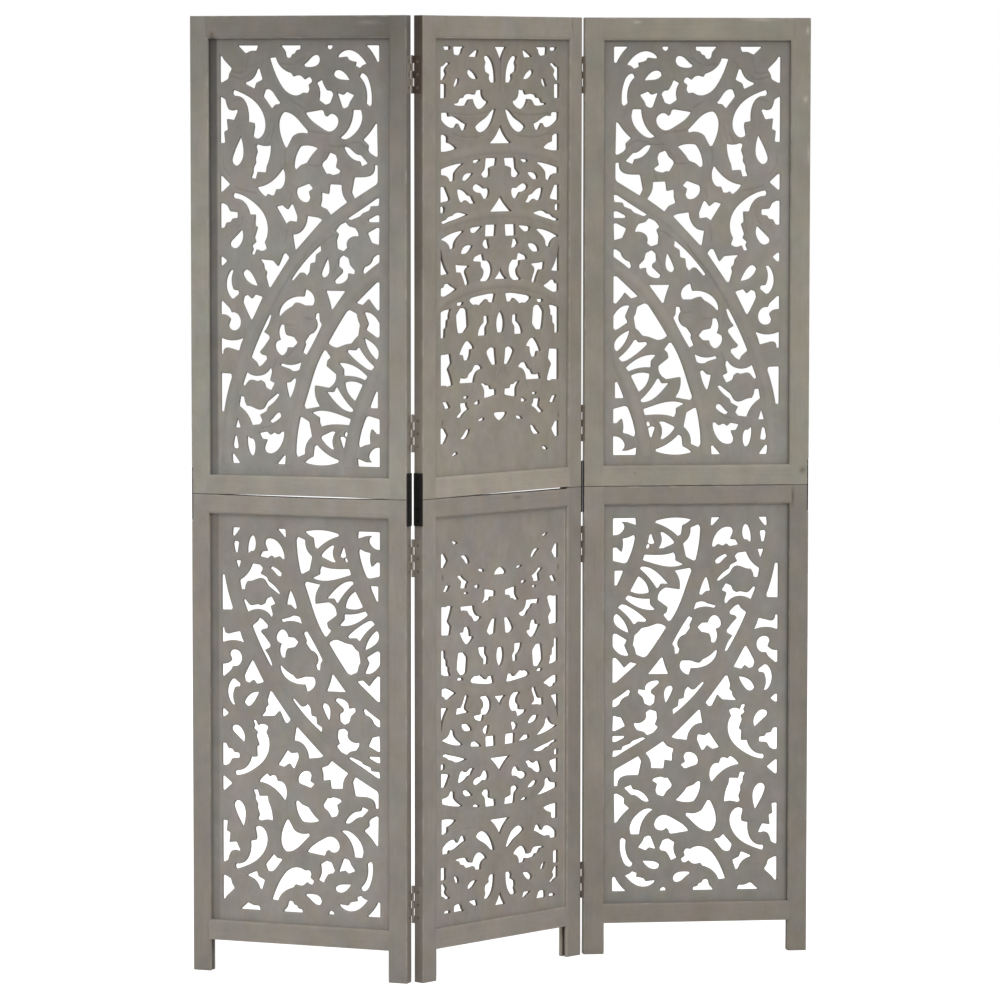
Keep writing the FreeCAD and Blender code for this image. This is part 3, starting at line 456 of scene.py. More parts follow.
def waves(along, around, random):
    """A slow unevenness: a sum of sines along the batten whose phases turn round its section."""
    total = np.zeros((len(along), len(around)))
    for wave in range(1, WAVES + 1):
        pitch, phase, twist = random.uniform(0.5, 1.5), random.uniform(0, FULL_TURN), random.uniform(-2, 2)
        turn = FULL_TURN * wave * pitch * along[:, None] + phase + twist * around[None, :]
        total += np.sin(turn) / wave
    return WAVE_HEIGHT * total


def evenly(along, length, values):
    """Values given at even places along a batten, read off in between."""
    return np.interp(along / length, np.linspace(0, 1, len(values)), values)


def batten_shape(section, width, span, lengthwise, looks, random):
    """Places along a batten, and how far across and deep each point of its section is there.

    A point moves along its normal by the waves. The trim moves the inner side and the bow the outer one,
    each by a square of the share of the width, and no point passes the least distance across.
    """
    low, length = span[0], span[1] - span[0]
    plate_ends = (SEAM - PLATE_REACH, SEAM + PLATE_REACH) if lengthwise else ()
    extra = [end - low + step for end in plate_ends for step in (0, PLATE_STEP)]
    for spot in looks["smudges"] + looks["scuffs"]:
        extra += (spot[0] - low + spot[2] * MARK_STEPS).tolist()
    along, drawn = stations(length, STILE_END if lengthwise else RAIL_END, extra)
    around = np.arange(len(section)) * 2 * math.pi / len(section)
    lift = waves(along, around, random) - drawn[:, None]
    normals = outward_normals(section)
    share = np.clip(section[:, 0] / width, 0, 1)
    across = section[:, 0] + lift * normals[:, 0]
    across = across + share ** 2 * evenly(along, length, looks["trim"])[:, None]
    across = across - (1 - share) ** 2 * evenly(along, length, looks["bow"])[:, None]
    deep = np.clip(section[:, 1] + lift * normals[:, 1], 0, FRAME_THICKNESS)
    if lengthwise:
        least = np.where(abs(along + low - SEAM) < PLATE_REACH, looks["sink"], EDGE_SINK)[:, None]
    else:
        least = -max(looks["bow"])
    return along, np.maximum(across, least), deep


print("stations along a metre:", len(stations(1.0, STILE_END, [])[0]))

# %% [markdown]
# Quads join the stations, and a cap closes each end. The finish has to know what is where, so every point
# also carries its place in the wood, whether it is on an arris, how much bare wood and painted shade darken
# it, its tone with painted light and shade in it, its hue, how strongly it is smudged, some smudges being
# painted shade, and how strongly it is scuffed.


# %% A batten
def marks(along, across, spots):
    """How strongly a piece is marked: a bell round each spot, with its reach along and across the piece."""
    total = np.zeros(across.shape)
    for spot_along, spot_across, spot_long, spot_wide, strength in spots:
        reach = ((along - spot_along) / spot_long) ** 2 + ((across - spot_across) / spot_wide) ** 2
        total = np.maximum(total, strength * np.exp(-reach))
    return total


def make_batten(node, panel, lengthwise, span, width, place, looks, random):
    """Carry a section along a batten, where place(along, across, deep) gives the panel's own axes."""
    section = batten_section(width)
    along, across, deep = batten_shape(section, width, span, lengthwise, looks, random)
    low, length = span[0], span[1] - span[0]
    far = np.broadcast_to(along[:, None], across.shape)
    own = np.stack(place(far + low, across, deep), axis=-1)
    points = panel.place(own[..., 0], own[..., 1], own[..., 2]).reshape(-1, 3)
    here = np.arange(across.size).reshape(across.shape)
    beside = np.roll(here, -1, axis=1)
    sides = np.stack([here[:-1], beside[:-1], beside[1:], here[1:]], axis=-1).reshape(-1, 4)
    caps = np.stack([here[0, ::-1], here[-1]])

    drawn = section[:, 0]
    rounded = np.minimum(abs(drawn - ARRIS / 2), abs(drawn - width + ARRIS / 2)) < ARRIS
    arris = np.where(rounded & (section[:, 1] < 2 * ARRIS), 1.0, 0.0)
    groove = np.where(np.isclose(drawn, width - GROOVE_DEPTH) & np.isin(section[:, 1], GROOVE), 1.0, 0.0)
    # Bare wood and painted shade on the outer side, as the looks give it along the batten, and painted shade
    # in the groove.
    bare = np.where(drawn < ARRIS / 2, evenly(along, length, looks["bare"])[:, None], groove)
    # Painted light: the rounded inner edge is made lighter by the looks' inner number.
    inner_painted_light = np.where(drawn > width - INNER_ARRIS / 2, looks["inner"], 1.0)
    attributes = {
        "grain": np.stack([far, across, deep], axis=-1).reshape(-1, 3) + random.uniform(0, 20, 3),
        "arris": np.broadcast_to(arris, across.shape).ravel(),
        "spot": own.reshape(-1, 3) + looks["offset"],
        "bare": bare.ravel(),
        "tone": (evenly(along, length, looks["tone"])[:, None] * inner_painted_light).ravel(),
        "warm": np.full(across.size, looks["hue"][0]),
        "yellow": np.full(across.size, looks["hue"][1]),
        "smudge": marks(far + low, across, looks["smudges"]).ravel(),
        "scuff": marks(far + low, across, looks["scuffs"]).ravel(),
    }
    body = panel.name + "_panel"
    piece = make_piece("worn_" + node, points, [sides, caps], frame_wood, node, body, attributes)
    return piece


# %% [markdown]
# The battens of one frame stand where the imported stiles and rails stand. Each took the wash in its own way
# and is painted lighter and darker where light and shade fall on it, so the table says how a batten differs
# from a plain one. A tone, a trim and a bow are read at even places along it, upwards or from the left; a tone
# is the wash and painted light and shade together. The inner number paints light on the rounded inner edge. A
# smudge or a scuff has its place along and across, its reach both ways and its strength, and some smudges are
# painted shade. The hue is its warmth and its yellowness, and the bare number darkens the outer side, on the
# middle panel's hinged edge as bare wood and painted shade.

# %% The looks of the battens
OUTER_SINK = 0.0009
PLAIN_BATTEN = {
    "tone": (1.0, 1.0),
    "inner": 1.0,
    "trim": (0.0, 0.0),
    "bow": (0.0, 0.0),
    "bare": (0.15, 0.15),
    "smudges": [],
    "scuffs": [],
}
BATTEN_LOOKS = {
    "left_upper_top_rail": {
        "tone": (0.71, 0.68, 0.48),
        "inner": 1.35,
        "trim": (0.005, 0.005),
        # These two smudges are painted shadow: the left board's dark strip carried up onto the rail.
        "smudges": [(0.0412, 0.038, 0.0055, 0.0075, 0.9), (0.0412, 0.0315, 0.005, 0.004, 0.7)],
        "scuffs": [(0.33, 0.012, 0.02, 0.004, 0.18)],
    },
    "left_upper_left_stile": {"tone": (1.2, 1.19, 0.76), "trim": (-0.0018, -0.0024), "hue": (0.27, 0.56)},
    "left_upper_right_stile": {"tone": (1.25, 0.97, 0.53), "trim": (-0.0006, -0.0034)},
    "left_upper_bottom_rail": {"tone": (1.18, 1.25), "trim": (-0.003, -0.0004)},
    "left_lower_left_stile": {"tone": (0.95, 1.01, 1.03), "trim": (-0.0026, -0.0026)},
    "left_lower_right_stile": {"tone": (0.98, 1.0, 1.1)},
    "left_lower_top_rail": {"tone": (1.11, 1.15)},
    "left_lower_bottom_rail": {"tone": (1.14, 1.0)},
    "middle_upper_top_rail": {"tone": (0.92, 1.02), "inner": 1.35, "trim": (0.005, 0.005)},
    # The hinged edge's darkening, deepest at the top, is bare wood and painted shade from the left panel.
    "middle_upper_left_stile": {"tone": (1.18, 0.92, 0.9), "bare": (0.15, 0.3, 0.45, 0.55, 1.0)},
    "middle_upper_right_stile": {"tone": (1.1, 0.88, 0.95), "trim": (-0.002, -0.006)},
    "middle_upper_bottom_rail": {"tone": (1.36, 1.3)},
    "middle_lower_left_stile": {"tone": (1.0, 1.0, 1.08), "bare": (0.25, 0.2, 0.22)},
    "middle_lower_right_stile": {"tone": (1.01, 0.9, 0.91), "inner": 1.2},
    "middle_lower_top_rail": {"smudges": [(0.235, 0.008, 0.010, 0.003, 0.5)]},
    "middle_lower_bottom_rail": {"tone": (1.1, 1.1)},
    "right_upper_top_rail": {
        "tone": (0.86, 0.92, 0.9),
        "inner": 1.25,
        "trim": (0.006, 0.006),
        "hue": (0.5, 1.0),
        "scuffs": [(0.092, 0.008, 0.007, 0.003, 0.45), (0.312, 0.004, 0.02, 0.0025, 0.4)],
    },
    "right_upper_left_stile": {"tone": (1.05, 0.92, 0.87)},
    "right_upper_right_stile": {
        "tone": (1.1, 1.07, 1.02, 0.93, 0.8),
        "hue": (0.41, 0.8),
        "smudges": [(0.856, 0.0115, 0.005, 0.005, 0.65)],
        "scuffs": [
            (1.628, 0.006, 0.006, 0.0025, 0.7),
            (1.508, 0.009, 0.005, 0.004, 0.6),
            (1.412, 0.003, 0.014, 0.0025, 0.5),
        ],
    },
    "right_upper_bottom_rail": {"tone": (1.1, 1.1), "smudges": [(0.090, 0.0215, 0.0022, 0.0022, 0.4)]},
    "right_lower_left_stile": {"tone": (0.9, 1.0, 0.97), "trim": (0.002, 0.002)},
    "right_lower_right_stile": {
        "tone": (0.88, 0.83, 0.83),
        "trim": (-0.001, -0.001),
        "hue": (0.52, 0.6),
        "smudges": [(0.809, 0.029, 0.014, 0.003, 0.8)],
    },
    "right_lower_top_rail": {"tone": (0.88, 0.88)},
    "right_lower_bottom_rail": {"tone": (0.97, 0.92)},
}
FRAME_HUES = {
    "left_upper": (0.42, 0.56),
    "left_lower": (0.59, 0.48),
    "middle_upper": (0.66, 0.7),
    "middle_lower": (0.67, 0.45),
    "right_upper": (0.53, 0.75),
    "right_lower": (0.67, 0.55),
}
SEAM_RAILS = ("upper_bottom_rail", "lower_top_rail")
SEAM_BOWS = {
    "left": (0.0007, -0.0002, -0.0007, -0.0007, 0.0007),
    "middle": (0.0007, 0.0004, -0.0004, -0.0007, -0.0006),
    "right": (0.0007, 0.0006, 0.0007),
}
PANEL_OFFSETS = {"left": (0.0, 0.0, 0.0), "middle": (3.1, 0.0, 5.7), "right": (7.3, 0.0, 1.9)}


def looks_of(node, at_fold):
    """A plain batten's looks, with its frame's hue, its panel's place in the wash and what is its own."""
    name, half = node.split("_")[:2]
    looks = {**PLAIN_BATTEN, "hue": FRAME_HUES[name + "_" + half], "offset": PANEL_OFFSETS[name]}
    looks["sink"] = EDGE_SINK if at_fold else OUTER_SINK
    if node.endswith(SEAM_RAILS):
        looks["bow"] = SEAM_BOWS[name]
    return {**looks, **BATTEN_LOOKS.get(node, {})}


print("battens with looks of their own:", len(BATTEN_LOOKS))

# %% [markdown]
# A stile is measured from its panel's left or right edge, and a rail down from its top or up from its
# bottom, so that the groove always faces the board. The rails end under the rounded inner arrises of the
# stiles, and the stiles' ends close the seam a little.

# %% All the battens
SEAM_CLOSE = 0.0007


def upright(edge):
    """Where a stile's section goes: across from the panel's left edge or from its right edge."""
    if edge == "left":
        return lambda along, across, deep: (across, deep, along)
    return lambda along, across, deep: (PANEL_WIDTH - across, deep, along)


def level_bar(outer, upwards):
    """Where a rail's section goes: its outer side is at one height, and its width runs up or down."""
    way = 1 if upwards else -1
    return lambda along, across, deep: (along, deep, outer + way * across)


random = np.random.default_rng(7)
battens = []
for panel in panels.values():
    for half in HALVES:
        base = "%s_%s_" % (panel.name, half)
        stile_trims = []
        for edge in ("left", "right"):
            node = base + edge + "_stile"
            low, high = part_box(node)
            looks = looks_of(node, panel.name == "middle" or edge != panel.name)
            stile_trims.append(looks["trim"])
            span = (low[2], high[2] + SEAM_CLOSE) if half == "lower" else (low[2] - SEAM_CLOSE, high[2])
            battens.append(make_batten(node, panel, True, span, STILE_WIDTH, upright(edge), looks, random))
        for rail, upwards in (("top_rail", False), ("bottom_rail", True)):
            node = base + rail
            low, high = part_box(node)
            place = level_bar(low[2] if upwards else high[2], upwards)
            inset = [STILE_WIDTH - INNER_ARRIS + trim[0 if upwards else 1] for trim in stile_trims]
            span = (inset[0], PANEL_WIDTH - inset[1])
            looks = looks_of(node, True)
            battens.append(make_batten(node, panel, False, span, high[2] - low[2], place, looks, random))
print("battens:", len(battens), "faces each about", len(battens[0].data.polygons))

# %% [markdown]
# ## The carved boards
# A board is sawn through with scrolls, leaves and arched bands, and then carved: the sawn edges are
# rounded over, the bands stand up as soft ridges between two cut lines, and veins are cut into the leaves.
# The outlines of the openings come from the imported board, cut finer and softened at their corners. The
# face between them is a grid of points, with two rings of points beside every edge for its rounding, and
# a triangulation that keeps the outlines joins them all.

# %% Outlines of a board
RIM_STEP = 0.0015
SOFTENINGS = 2
SAME_PLACE = 1e-5


def front_outlines(panel, node):
    """The outlines of a board's front face: points across and up, and each edge's two point numbers.

    A triangle is on the front if its corners are all at the least depth. An edge is on an outline if no
    other front triangle has it the other way round, so the wood is on its left.
    """
    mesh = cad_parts[node].data
    corners = np.empty(len(mesh.loops), dtype=np.int64)
    mesh.loops.foreach_get("vertex_index", corners)
    spots = np.round(panel.measure(node_points(node)), 6)
    spots, number = np.unique(spots, axis=0, return_inverse=True)
    triangles = number.reshape(-1)[corners].reshape(-1, 3)
    front = triangles[(spots[triangles][:, :, 1] < spots[:, 1].min() + SAME_PLACE).all(axis=1)]
    edges = np.concatenate([front[:, [0, 1]], front[:, [1, 2]], front[:, [2, 0]]])
    forward = edges[:, 0] * len(spots) + edges[:, 1]
    backward = edges[:, 1] * len(spots) + edges[:, 0]
    rim = edges[~np.isin(forward, backward)]
    used, pairs = np.unique(rim, return_inverse=True)
    return spots[used][:, [0, 2]], pairs.reshape(-1, 2)


def divided(points, pairs):
    """The outlines with every edge cut into equal steps, and for each point the number of the next one."""
    starts, ends = points[pairs[:, 0]], points[pairs[:, 1]]
    pieces = np.ceil(np.linalg.norm(ends - starts, axis=1) / RIM_STEP).astype(int)
    first = np.cumsum(pieces) - pieces
    owner = np.repeat(np.arange(len(pairs)), pieces)
    share = (np.arange(pieces.sum()) - first[owner]) / pieces[owner]
    spots = starts[owner] + share[:, None] * (ends - starts)[owner]
    edge_from = np.empty(len(points), dtype=int)
    edge_from[pairs[:, 0]] = np.arange(len(pairs))
    following = np.arange(len(spots)) + 1
    following[first + pieces - 1] = first[edge_from[pairs[:, 1]]]
    return spots, following


def softened(spots, following, held):
    """Outlines with every point but the held ones drawn halfway to its neighbours' middle, a few times."""
    before = np.empty_like(following)
    before[following] = np.arange(len(following))
    for _ in range(SOFTENINGS):
        middle = (spots[before] + spots[following]) / 2
        spots = np.where(held[:, None], spots, (spots + middle) / 2)
    return spots, before


spots, following = divided(*front_outlines(panels["left"], "left_upper_fretwork"))
print("outline points of the left upper board:", len(spots))

# %% [markdown]
# To keep points of the face clear of the edges, the wood is also drawn on a fine map. Each row of the map
# is cut where an outline crosses it, and every second stretch is wood. Moving the openings of the map about
# in a small window then gives each cell its distance from the nearest opening.

# %% A map of the wood
CELL = 0.0005
MAP_REACH = 8
MAX_ROWS = 5


class WoodMap:
    """Distances from the nearest edge of an opening on a fine grid over a board, 0 in the openings."""

    def __init__(self, spots, following):
        self.low = spots.min(axis=0) - MAP_REACH * CELL
        size = np.ceil((spots.max(axis=0) - self.low) / CELL).astype(int) + MAP_REACH + 2
        toggles = np.zeros((size[1], size[0]), dtype=np.int64)
        start, end = (spots - self.low) / CELL, (spots[following] - self.low) / CELL
        lower, upper = np.minimum(start[:, 1], end[:, 1]), np.maximum(start[:, 1], end[:, 1])
        for step in range(MAX_ROWS):
            row = np.ceil(lower - 0.5) + step
            crossed = row + 0.5 < upper
            share = (row + 0.5 - start[:, 1])[crossed] / (end - start)[crossed, 1]
            column = np.ceil(start[crossed, 0] + share * (end - start)[crossed, 0] - 0.5).astype(int)
            np.add.at(toggles, (row[crossed].astype(int), column), 1)
        wood = np.cumsum(toggles, axis=1) % 2 == 1
        self.distance = np.where(wood, (MAP_REACH + 1) * CELL, 0.0)
        steps = [(x, y) for x in range(-MAP_REACH, MAP_REACH + 1) for y in range(-MAP_REACH, MAP_REACH + 1)]
        for x, y in sorted(steps, key=lambda step: -math.hypot(*step)):
            reach = math.hypot(x, y) * CELL
            if 0 < reach <= MAP_REACH * CELL:
                open_there = ~np.roll(wood, (y, x), axis=(0, 1))
                self.distance[open_there & wood] = reach

    def at(self, spots):
        """The distance at each of some points, read from the nearest cell."""
        cells = np.round((spots - self.low) / CELL - 0.5).astype(int)
        cells = np.clip(cells, 0, np.array(self.distance.shape)[::-1] - 1)
        return self.distance[cells[:, 1], cells[:, 0]]


print("the map reaches", MAP_REACH * CELL, "m from an edge")

# %% [markdown]
# ## What is carved
# The pattern is drawn in millimetres over one board: across from the panel's left edge, up from the seam.
# On a side board three bands sweep round the middle of the screen. On the middle board they are arcs about
# the seam's middle. The left board is the right one mirrored, and a lower board is an upper one turned over.

# %% Bands and cut lines
FIELD_BOTTOM, FIELD_TOP = 60.0, 774.0
FIELD_LEFT, FIELD_RIGHT = 53.0, 347.0
BOARD_MIDDLE = 200.0
FIELD_FADE = 5.0
BAND_HALF = 9.5
LINE_HALF = 1.7
CARVING = {
    "upper": {"band": 1.1, "band side": 0.3, "line": 0.52, "overlap": 0.52},
    "lower": {"band": 0.5, "band side": 0.0, "line": 0.2, "overlap": 0.2},
}
OVERLAP_PLACE = 3.2
OVERLAP_HALF = 2.4
BAND_SIDE = BAND_HALF + 0.6
CUT_STEP = 1.7
CUT_ROWS = np.array([-2.4, -1.1, 0.0, 1.1, 2.4])
CUT_CLEAR = 3.4
CURVE_STEPS = 12
SIDE_BANDS = [
    [(40, 535), (53, 528), (100, 503), (150, 470), (200, 420), (250, 352), (290, 285), (310, 230), (325, 175),
     (333, 110), (335, 60), (335, 40)],
    [(40, 399), (53, 391), (90, 365), (115, 340), (140, 305), (160, 275), (185, 215), (200, 165), (212, 110),
     (218, 60), (219, 40)],
    [(45, 255), (60, 225), (75, 190), (85, 165), (95, 130), (105, 90), (110, 60), (111, 40)],
]
ARC_TURNS = np.linspace(-0.45, 0.45, 9)
MIDDLE_BANDS = [
    [(BOARD_MIDDLE + radius * math.sin(turn), radius * math.cos(turn)) for turn in ARC_TURNS]
    for radius in (596, 485, 362)
]
SIDE_LINES = [
    [(78, 602), (91, 610), (106, 608), (124, 603), (141, 604)],
    [(141, 624), (161, 626), (179, 629), (192, 636), (203, 649), (214, 659)],
    [(192, 667), (201, 673), (212, 679)],
    [(296, 753), (299, 740), (300, 729)],
    [(290, 727), (301, 717), (315, 718), (326, 722)],
    [(301, 729), (312, 727), (323, 730)],
    [(267, 748), (271, 737)],
    [(247, 635), (250, 622), (254, 609)],
    [(255, 626), (260, 617), (266, 606)],
    [(225, 598), (227, 582), (226, 567)],
    [(149, 594), (157, 582), (163, 570), (179, 571)],
    [(122, 563), (124, 552), (128, 541)],
    [(190, 753), (205, 743)],
    [(214, 741), (231, 743)],
    [(297, 679), (310, 683), (323, 679)],
    [(342, 582), (340, 565), (330, 552)],
    [(182, 429), (196, 409), (214, 388), (227, 368), (240, 348), (249, 333), (258, 318)],
    [(135, 453), (144, 449), (157, 439)],
    [(214, 525), (217, 514), (216, 506)],
    [(223, 460), (225, 449), (226, 436)],
    [(283, 482), (286, 466), (288, 449)],
    [(305, 482), (308, 471), (315, 464)],
    [(310, 477), (317, 468)],
    [(281, 523), (297, 526), (319, 532)],
    [(129, 409), (135, 396), (140, 383)],
    [(174, 309), (190, 311)],
    [(214, 299), (227, 299)],
    [(201, 268), (214, 254), (225, 244)],
    [(244, 239), (249, 224), (251, 211)],
    [(258, 163), (269, 147)],
    [(240, 134), (253, 126), (271, 121)],
    [(124, 121), (133, 112), (135, 99)],
]
MIDDLE_HALF_LINES = [
    [(200, 747), (201, 718), (202, 695)],
    [(233, 659), (266, 655), (299, 656), (332, 658)],
    [(241, 620), (266, 616), (295, 617), (323, 623)],
    [(208, 212), (216, 198)],
    [(266, 189), (270, 172)],
]
MIDDLE_LINES = MIDDLE_HALF_LINES + [
    [(2 * BOARD_MIDDLE - across, up) for across, up in line] for line in MIDDLE_HALF_LINES
]


def smooth_curve(points):
    """A curve through given points: between two, a cubic whose slopes are their neighbours' chords."""
    points = np.array(points, dtype=float)
    ends = np.concatenate([2 * points[:1] - points[1:2], points, 2 * points[-1:] - points[-2:-1]])
    before, here, there, after = (ends[i:len(ends) - 3 + i, None, :] for i in range(4))
    t = np.linspace(0, 1, CURVE_STEPS, endpoint=False)[None, :, None]
    bend = 2 * before - 5 * here + 4 * there - after
    twist = 3 * here - before - 3 * there + after
    curve = here + (there - before) * t / 2 + bend * t ** 2 / 2 + twist * t ** 3 / 2
    return np.concatenate([curve.reshape(-1, 2), points[-1:]])


def distance_to_curve(spots, curve, reach):
    """Each point's distance from a curve where it is within reach: more than 0 on the left of its direction.

    The points come sorted by height, so that only those level with a straight piece of it are measured.
    """
    nearest = np.full(len(spots), np.inf)
    for origin, step in zip(curve[:-1], np.diff(curve, axis=0)):
        low, high = sorted((origin[1], origin[1] + step[1]))
        first, last = np.searchsorted(spots[:, 1], (low - reach, high + reach))
        away = spots[first:last] - origin
        share = np.clip(away @ step / (step @ step), 0, 1)
        distance = np.linalg.norm(away - share[:, None] * step, axis=1)
        side = np.where(step[0] * away[:, 1] > step[1] * away[:, 0], 1.0, -1.0)
        known = nearest[first:last]
        nearest[first:last] = np.where(distance < abs(known), side * distance, known)
    return nearest


def carved_height(spots, bands, lines, half):
    """The carving in millimetres above the flat face, and whether a point is close to a cut.

    A band is a rounded ridge, a half cosine across its width, with a cut line at each side on an upper
    board and none on a lower one, where it is flatter. A cut line is a bell-shaped groove, and the wood on
    its left swells over it as a leaf does over a stem. All of it fades out at the plain border.
    """
    deep = CARVING[half]
    order = np.argsort(spots[:, 1])
    spots = spots[order]
    height, close = np.zeros(len(spots)), np.zeros(len(spots), dtype=bool)
    for band in bands:
        away = abs(distance_to_curve(spots, smooth_curve(band), 2 * BAND_HALF))
        ridge = np.cos(np.clip(away / BAND_HALF, 0, 1) * math.pi / 2) ** 0.8
        height = np.maximum(height, deep["band"] * ridge)
        height = height - deep["band side"] * np.exp(-(((away - BAND_SIDE) / LINE_HALF) ** 2))
        close |= abs(away - BAND_SIDE) < CUT_CLEAR
    for line in lines:
        away = distance_to_curve(spots, smooth_curve(line), 4 * OVERLAP_PLACE)
        height = height - deep["line"] * np.exp(-((away / LINE_HALF) ** 2))
        height = height + deep["overlap"] * np.exp(-(((away - OVERLAP_PLACE) / OVERLAP_HALF) ** 2))
        close |= abs(away) < CUT_CLEAR
    low, high = np.array([FIELD_LEFT, FIELD_BOTTOM]), np.array([FIELD_RIGHT, FIELD_TOP])
    inside = np.minimum(spots - low, high - spots).min(axis=1)
    back = np.argsort(order)
    return (height * np.clip(inside / FIELD_FADE + 1, 0, 1))[back], close[back]


def beside_cuts(bands, lines):
    """Points along every cut, on it and beside it, so that the face bends where the cuts need it."""
    rows = [(smooth_curve(line), CUT_ROWS) for line in lines]
    for band in bands:
        rows += [(smooth_curve(band), side * BAND_SIDE + CUT_ROWS) for side in (1, -1)]
    found = []
    for curve, offsets in rows:
        length = np.concatenate([[0], np.cumsum(np.linalg.norm(np.diff(curve, axis=0), axis=1))])
        along = np.arange(0, length[-1], CUT_STEP)
        middle = np.stack([np.interp(along, length, curve[:, i]) for i in range(2)], axis=1)
        side = left_of(np.gradient(middle, axis=0))
        found += [middle + offset * side for offset in offsets]
    return np.concatenate(found)


print("bands on a side board:", len(SIDE_BANDS), "and on a middle one:", len(MIDDLE_BANDS))

# %% [markdown]
# ## Carving a board
# The drawing is laid on each board: mirrored on the left one, turned over and shortened on a lower one. The
# face's points are the outlines, two rings beside them for the rounding, a staggered grid between, and the
# points along the cuts.

# %% Points of a face
MM_PER_METRE = 1000
GRID_STEP = 0.0022
RINGS = (0.00035, 0.001)
RING_CLEAR = 0.6
GRID_CLEAR = 0.0019
CUT_EDGE_CLEAR = 0.0014


class Drawing:
    """The drawing of the pattern laid on one board, mirrored or turned over as the board needs."""

    def __init__(self, field, mirrored, turned_over):
        self.low, self.tall = field[:, 1].min(), np.ptp(field[:, 1])
        self.mirrored, self.turned_over = mirrored, turned_over

    def turned(self, across, share):
        """A distance across and a share of the height, as the board has them or as the drawing does."""
        across = PANEL_WIDTH - across if self.mirrored else across
        return across, 1 - share if self.turned_over else share

    def of(self, spots):
        """Points of the board in millimetres on the drawing."""
        across, share = self.turned(spots[:, 0], (spots[:, 1] - self.low) / self.tall)
        return np.stack([MM_PER_METRE * across, FIELD_BOTTOM + share * (FIELD_TOP - FIELD_BOTTOM)], axis=1)

    def on_board(self, drawn):
        """Points of the drawing in metres on the board."""
        share = (drawn[:, 1] - FIELD_BOTTOM) / (FIELD_TOP - FIELD_BOTTOM)
        across, share = self.turned(drawn[:, 0] / MM_PER_METRE, share)
        return np.stack([across, self.low + share * self.tall], axis=1)


def face_rings(rim, before, following, held, wood):
    """Rings of points beside the openings, each at its distance from the outline, where the wood is wide."""
    inwards = left_of(rim[following] - rim[before])
    rings = []
    for turn, reach in enumerate(RINGS):
        ring = (rim + reach * inwards)[~held][::turn + 1]
        rings.append(ring[wood.at(ring) > RING_CLEAR * reach])
    return rings


def face_grid(low, high, wood, drawing, bands, lines, half):
    """A staggered grid clear of edges and cuts, and then the points of the cuts themselves."""
    columns = np.arange(low[0] + GRID_STEP / 2, high[0], GRID_STEP)
    rows = np.arange(low[1] + GRID_STEP / 2, high[1], GRID_STEP)
    grid = np.stack(np.meshgrid(columns, rows), axis=-1)
    grid[1::2, :, 0] += GRID_STEP / 2
    grid = grid.reshape(-1, 2)
    grid = grid[(wood.at(grid) > GRID_CLEAR) & (grid[:, 0] < high[0] - GRID_STEP / 4)]
    grid = grid[~carved_height(drawing.of(grid), bands, lines, half)[1]]
    cuts = drawing.on_board(beside_cuts(bands, lines))
    cuts = cuts[((cuts > low + GRID_STEP) & (cuts < high - GRID_STEP)).all(axis=1)]
    return np.concatenate([grid, cuts[wood.at(cuts) > CUT_EDGE_CLEAR]])


print("cut points on a side board:", len(beside_cuts(SIDE_BANDS, SIDE_LINES)))

# %% [markdown]
# A triangulation joins the points. It also fills the openings, so those triangles are left out again.

# %% Triangles of a face
BATCH = 400


def in_wood(spots, starts, ends):
    """True for points with an odd number of outline edges straight to their right."""
    odd = np.zeros(len(spots), dtype=bool)
    for some in np.array_split(np.arange(len(spots)), max(len(spots) // BATCH, 1)):
        across, up = spots[some, 0][:, None], spots[some, 1][:, None]
        spans = (starts[:, 1] > up) != (ends[:, 1] > up)
        rise = np.where(ends[:, 1] == starts[:, 1], 1.0, ends[:, 1] - starts[:, 1])
        meets = starts[:, 0] + (up - starts[:, 1]) / rise * (ends[:, 0] - starts[:, 0])
        odd[some] = (spans & (meets > across)).sum(axis=1) % 2 == 1
    return odd


def triangulated(spots, rim_count, following):
    """Triangles between points that keep the outlines, which come first, and leave out the openings.

    A triangle between outline points only is wood if one of its edges runs along an outline, an opening if
    one runs against it, and is tested at its centre if neither does.
    """
    pairs = np.stack([np.arange(rim_count), following], axis=1)
    result = delaunay_2d_cdt(spots.tolist(), pairs.tolist(), [], 0, 1e-9)
    source = np.array([owners[0] for owners in result[3]])
    triangles = source[np.array(result[2])]
    only_rim = (triangles < rim_count).all(axis=1)
    ahead = np.full(len(spots), -1)
    ahead[:rim_count] = following
    wood_side = (ahead[triangles] == np.roll(triangles, -1, axis=1)).any(axis=1)
    open_side = (ahead[triangles] == np.roll(triangles, 1, axis=1)).any(axis=1)
    unknown = only_rim & ~wood_side & ~open_side
    keep = ~only_rim | (wood_side & ~open_side)
    centres = spots[triangles[unknown]].mean(axis=1)
    keep[unknown] = in_wood(centres, spots[:rim_count], spots[following])
    return triangles[keep]


square_ring = np.array([(0, 0), (3, 0), (3, 3), (0, 3), (1, 1), (1, 2), (2, 2), (2, 1)], dtype=float)
ring_order = np.array([1, 2, 3, 0, 5, 6, 7, 4])
print("triangles of a square ring:", len(triangulated(square_ring, len(square_ring), ring_order)))

# %% [markdown]
# Each point of the face gets a depth: the recess, plus the rounding of the edge, which is a quarter circle
# over the ring's distance and a softer easing beyond it, less the carving and a slow swell of the wood. The
# back is the same outlines with one ring and no carving, and a strip of quads joins the two outlines
# through the board.

# %% Carve one board
BOARD_THICKNESS = 0.007
EDGE_ROUND = 0.0013
EASE_HEIGHT = 0.0004
EASE_REACH = 0.0025
SWELL_HEIGHT = 0.00018
WALL_SHADES = {"left": (0.0, 0.25), "middle": (0.35, 1.0), "right": (0.0, 0.25)}


def edge_drop(away):
    """How far a rounded edge falls below the face: a quarter circle over its radius."""
    inwards = np.clip(1 - away / EDGE_ROUND, 0, 1)
    return EDGE_ROUND * (1 - np.sqrt(1 - inwards ** 2))


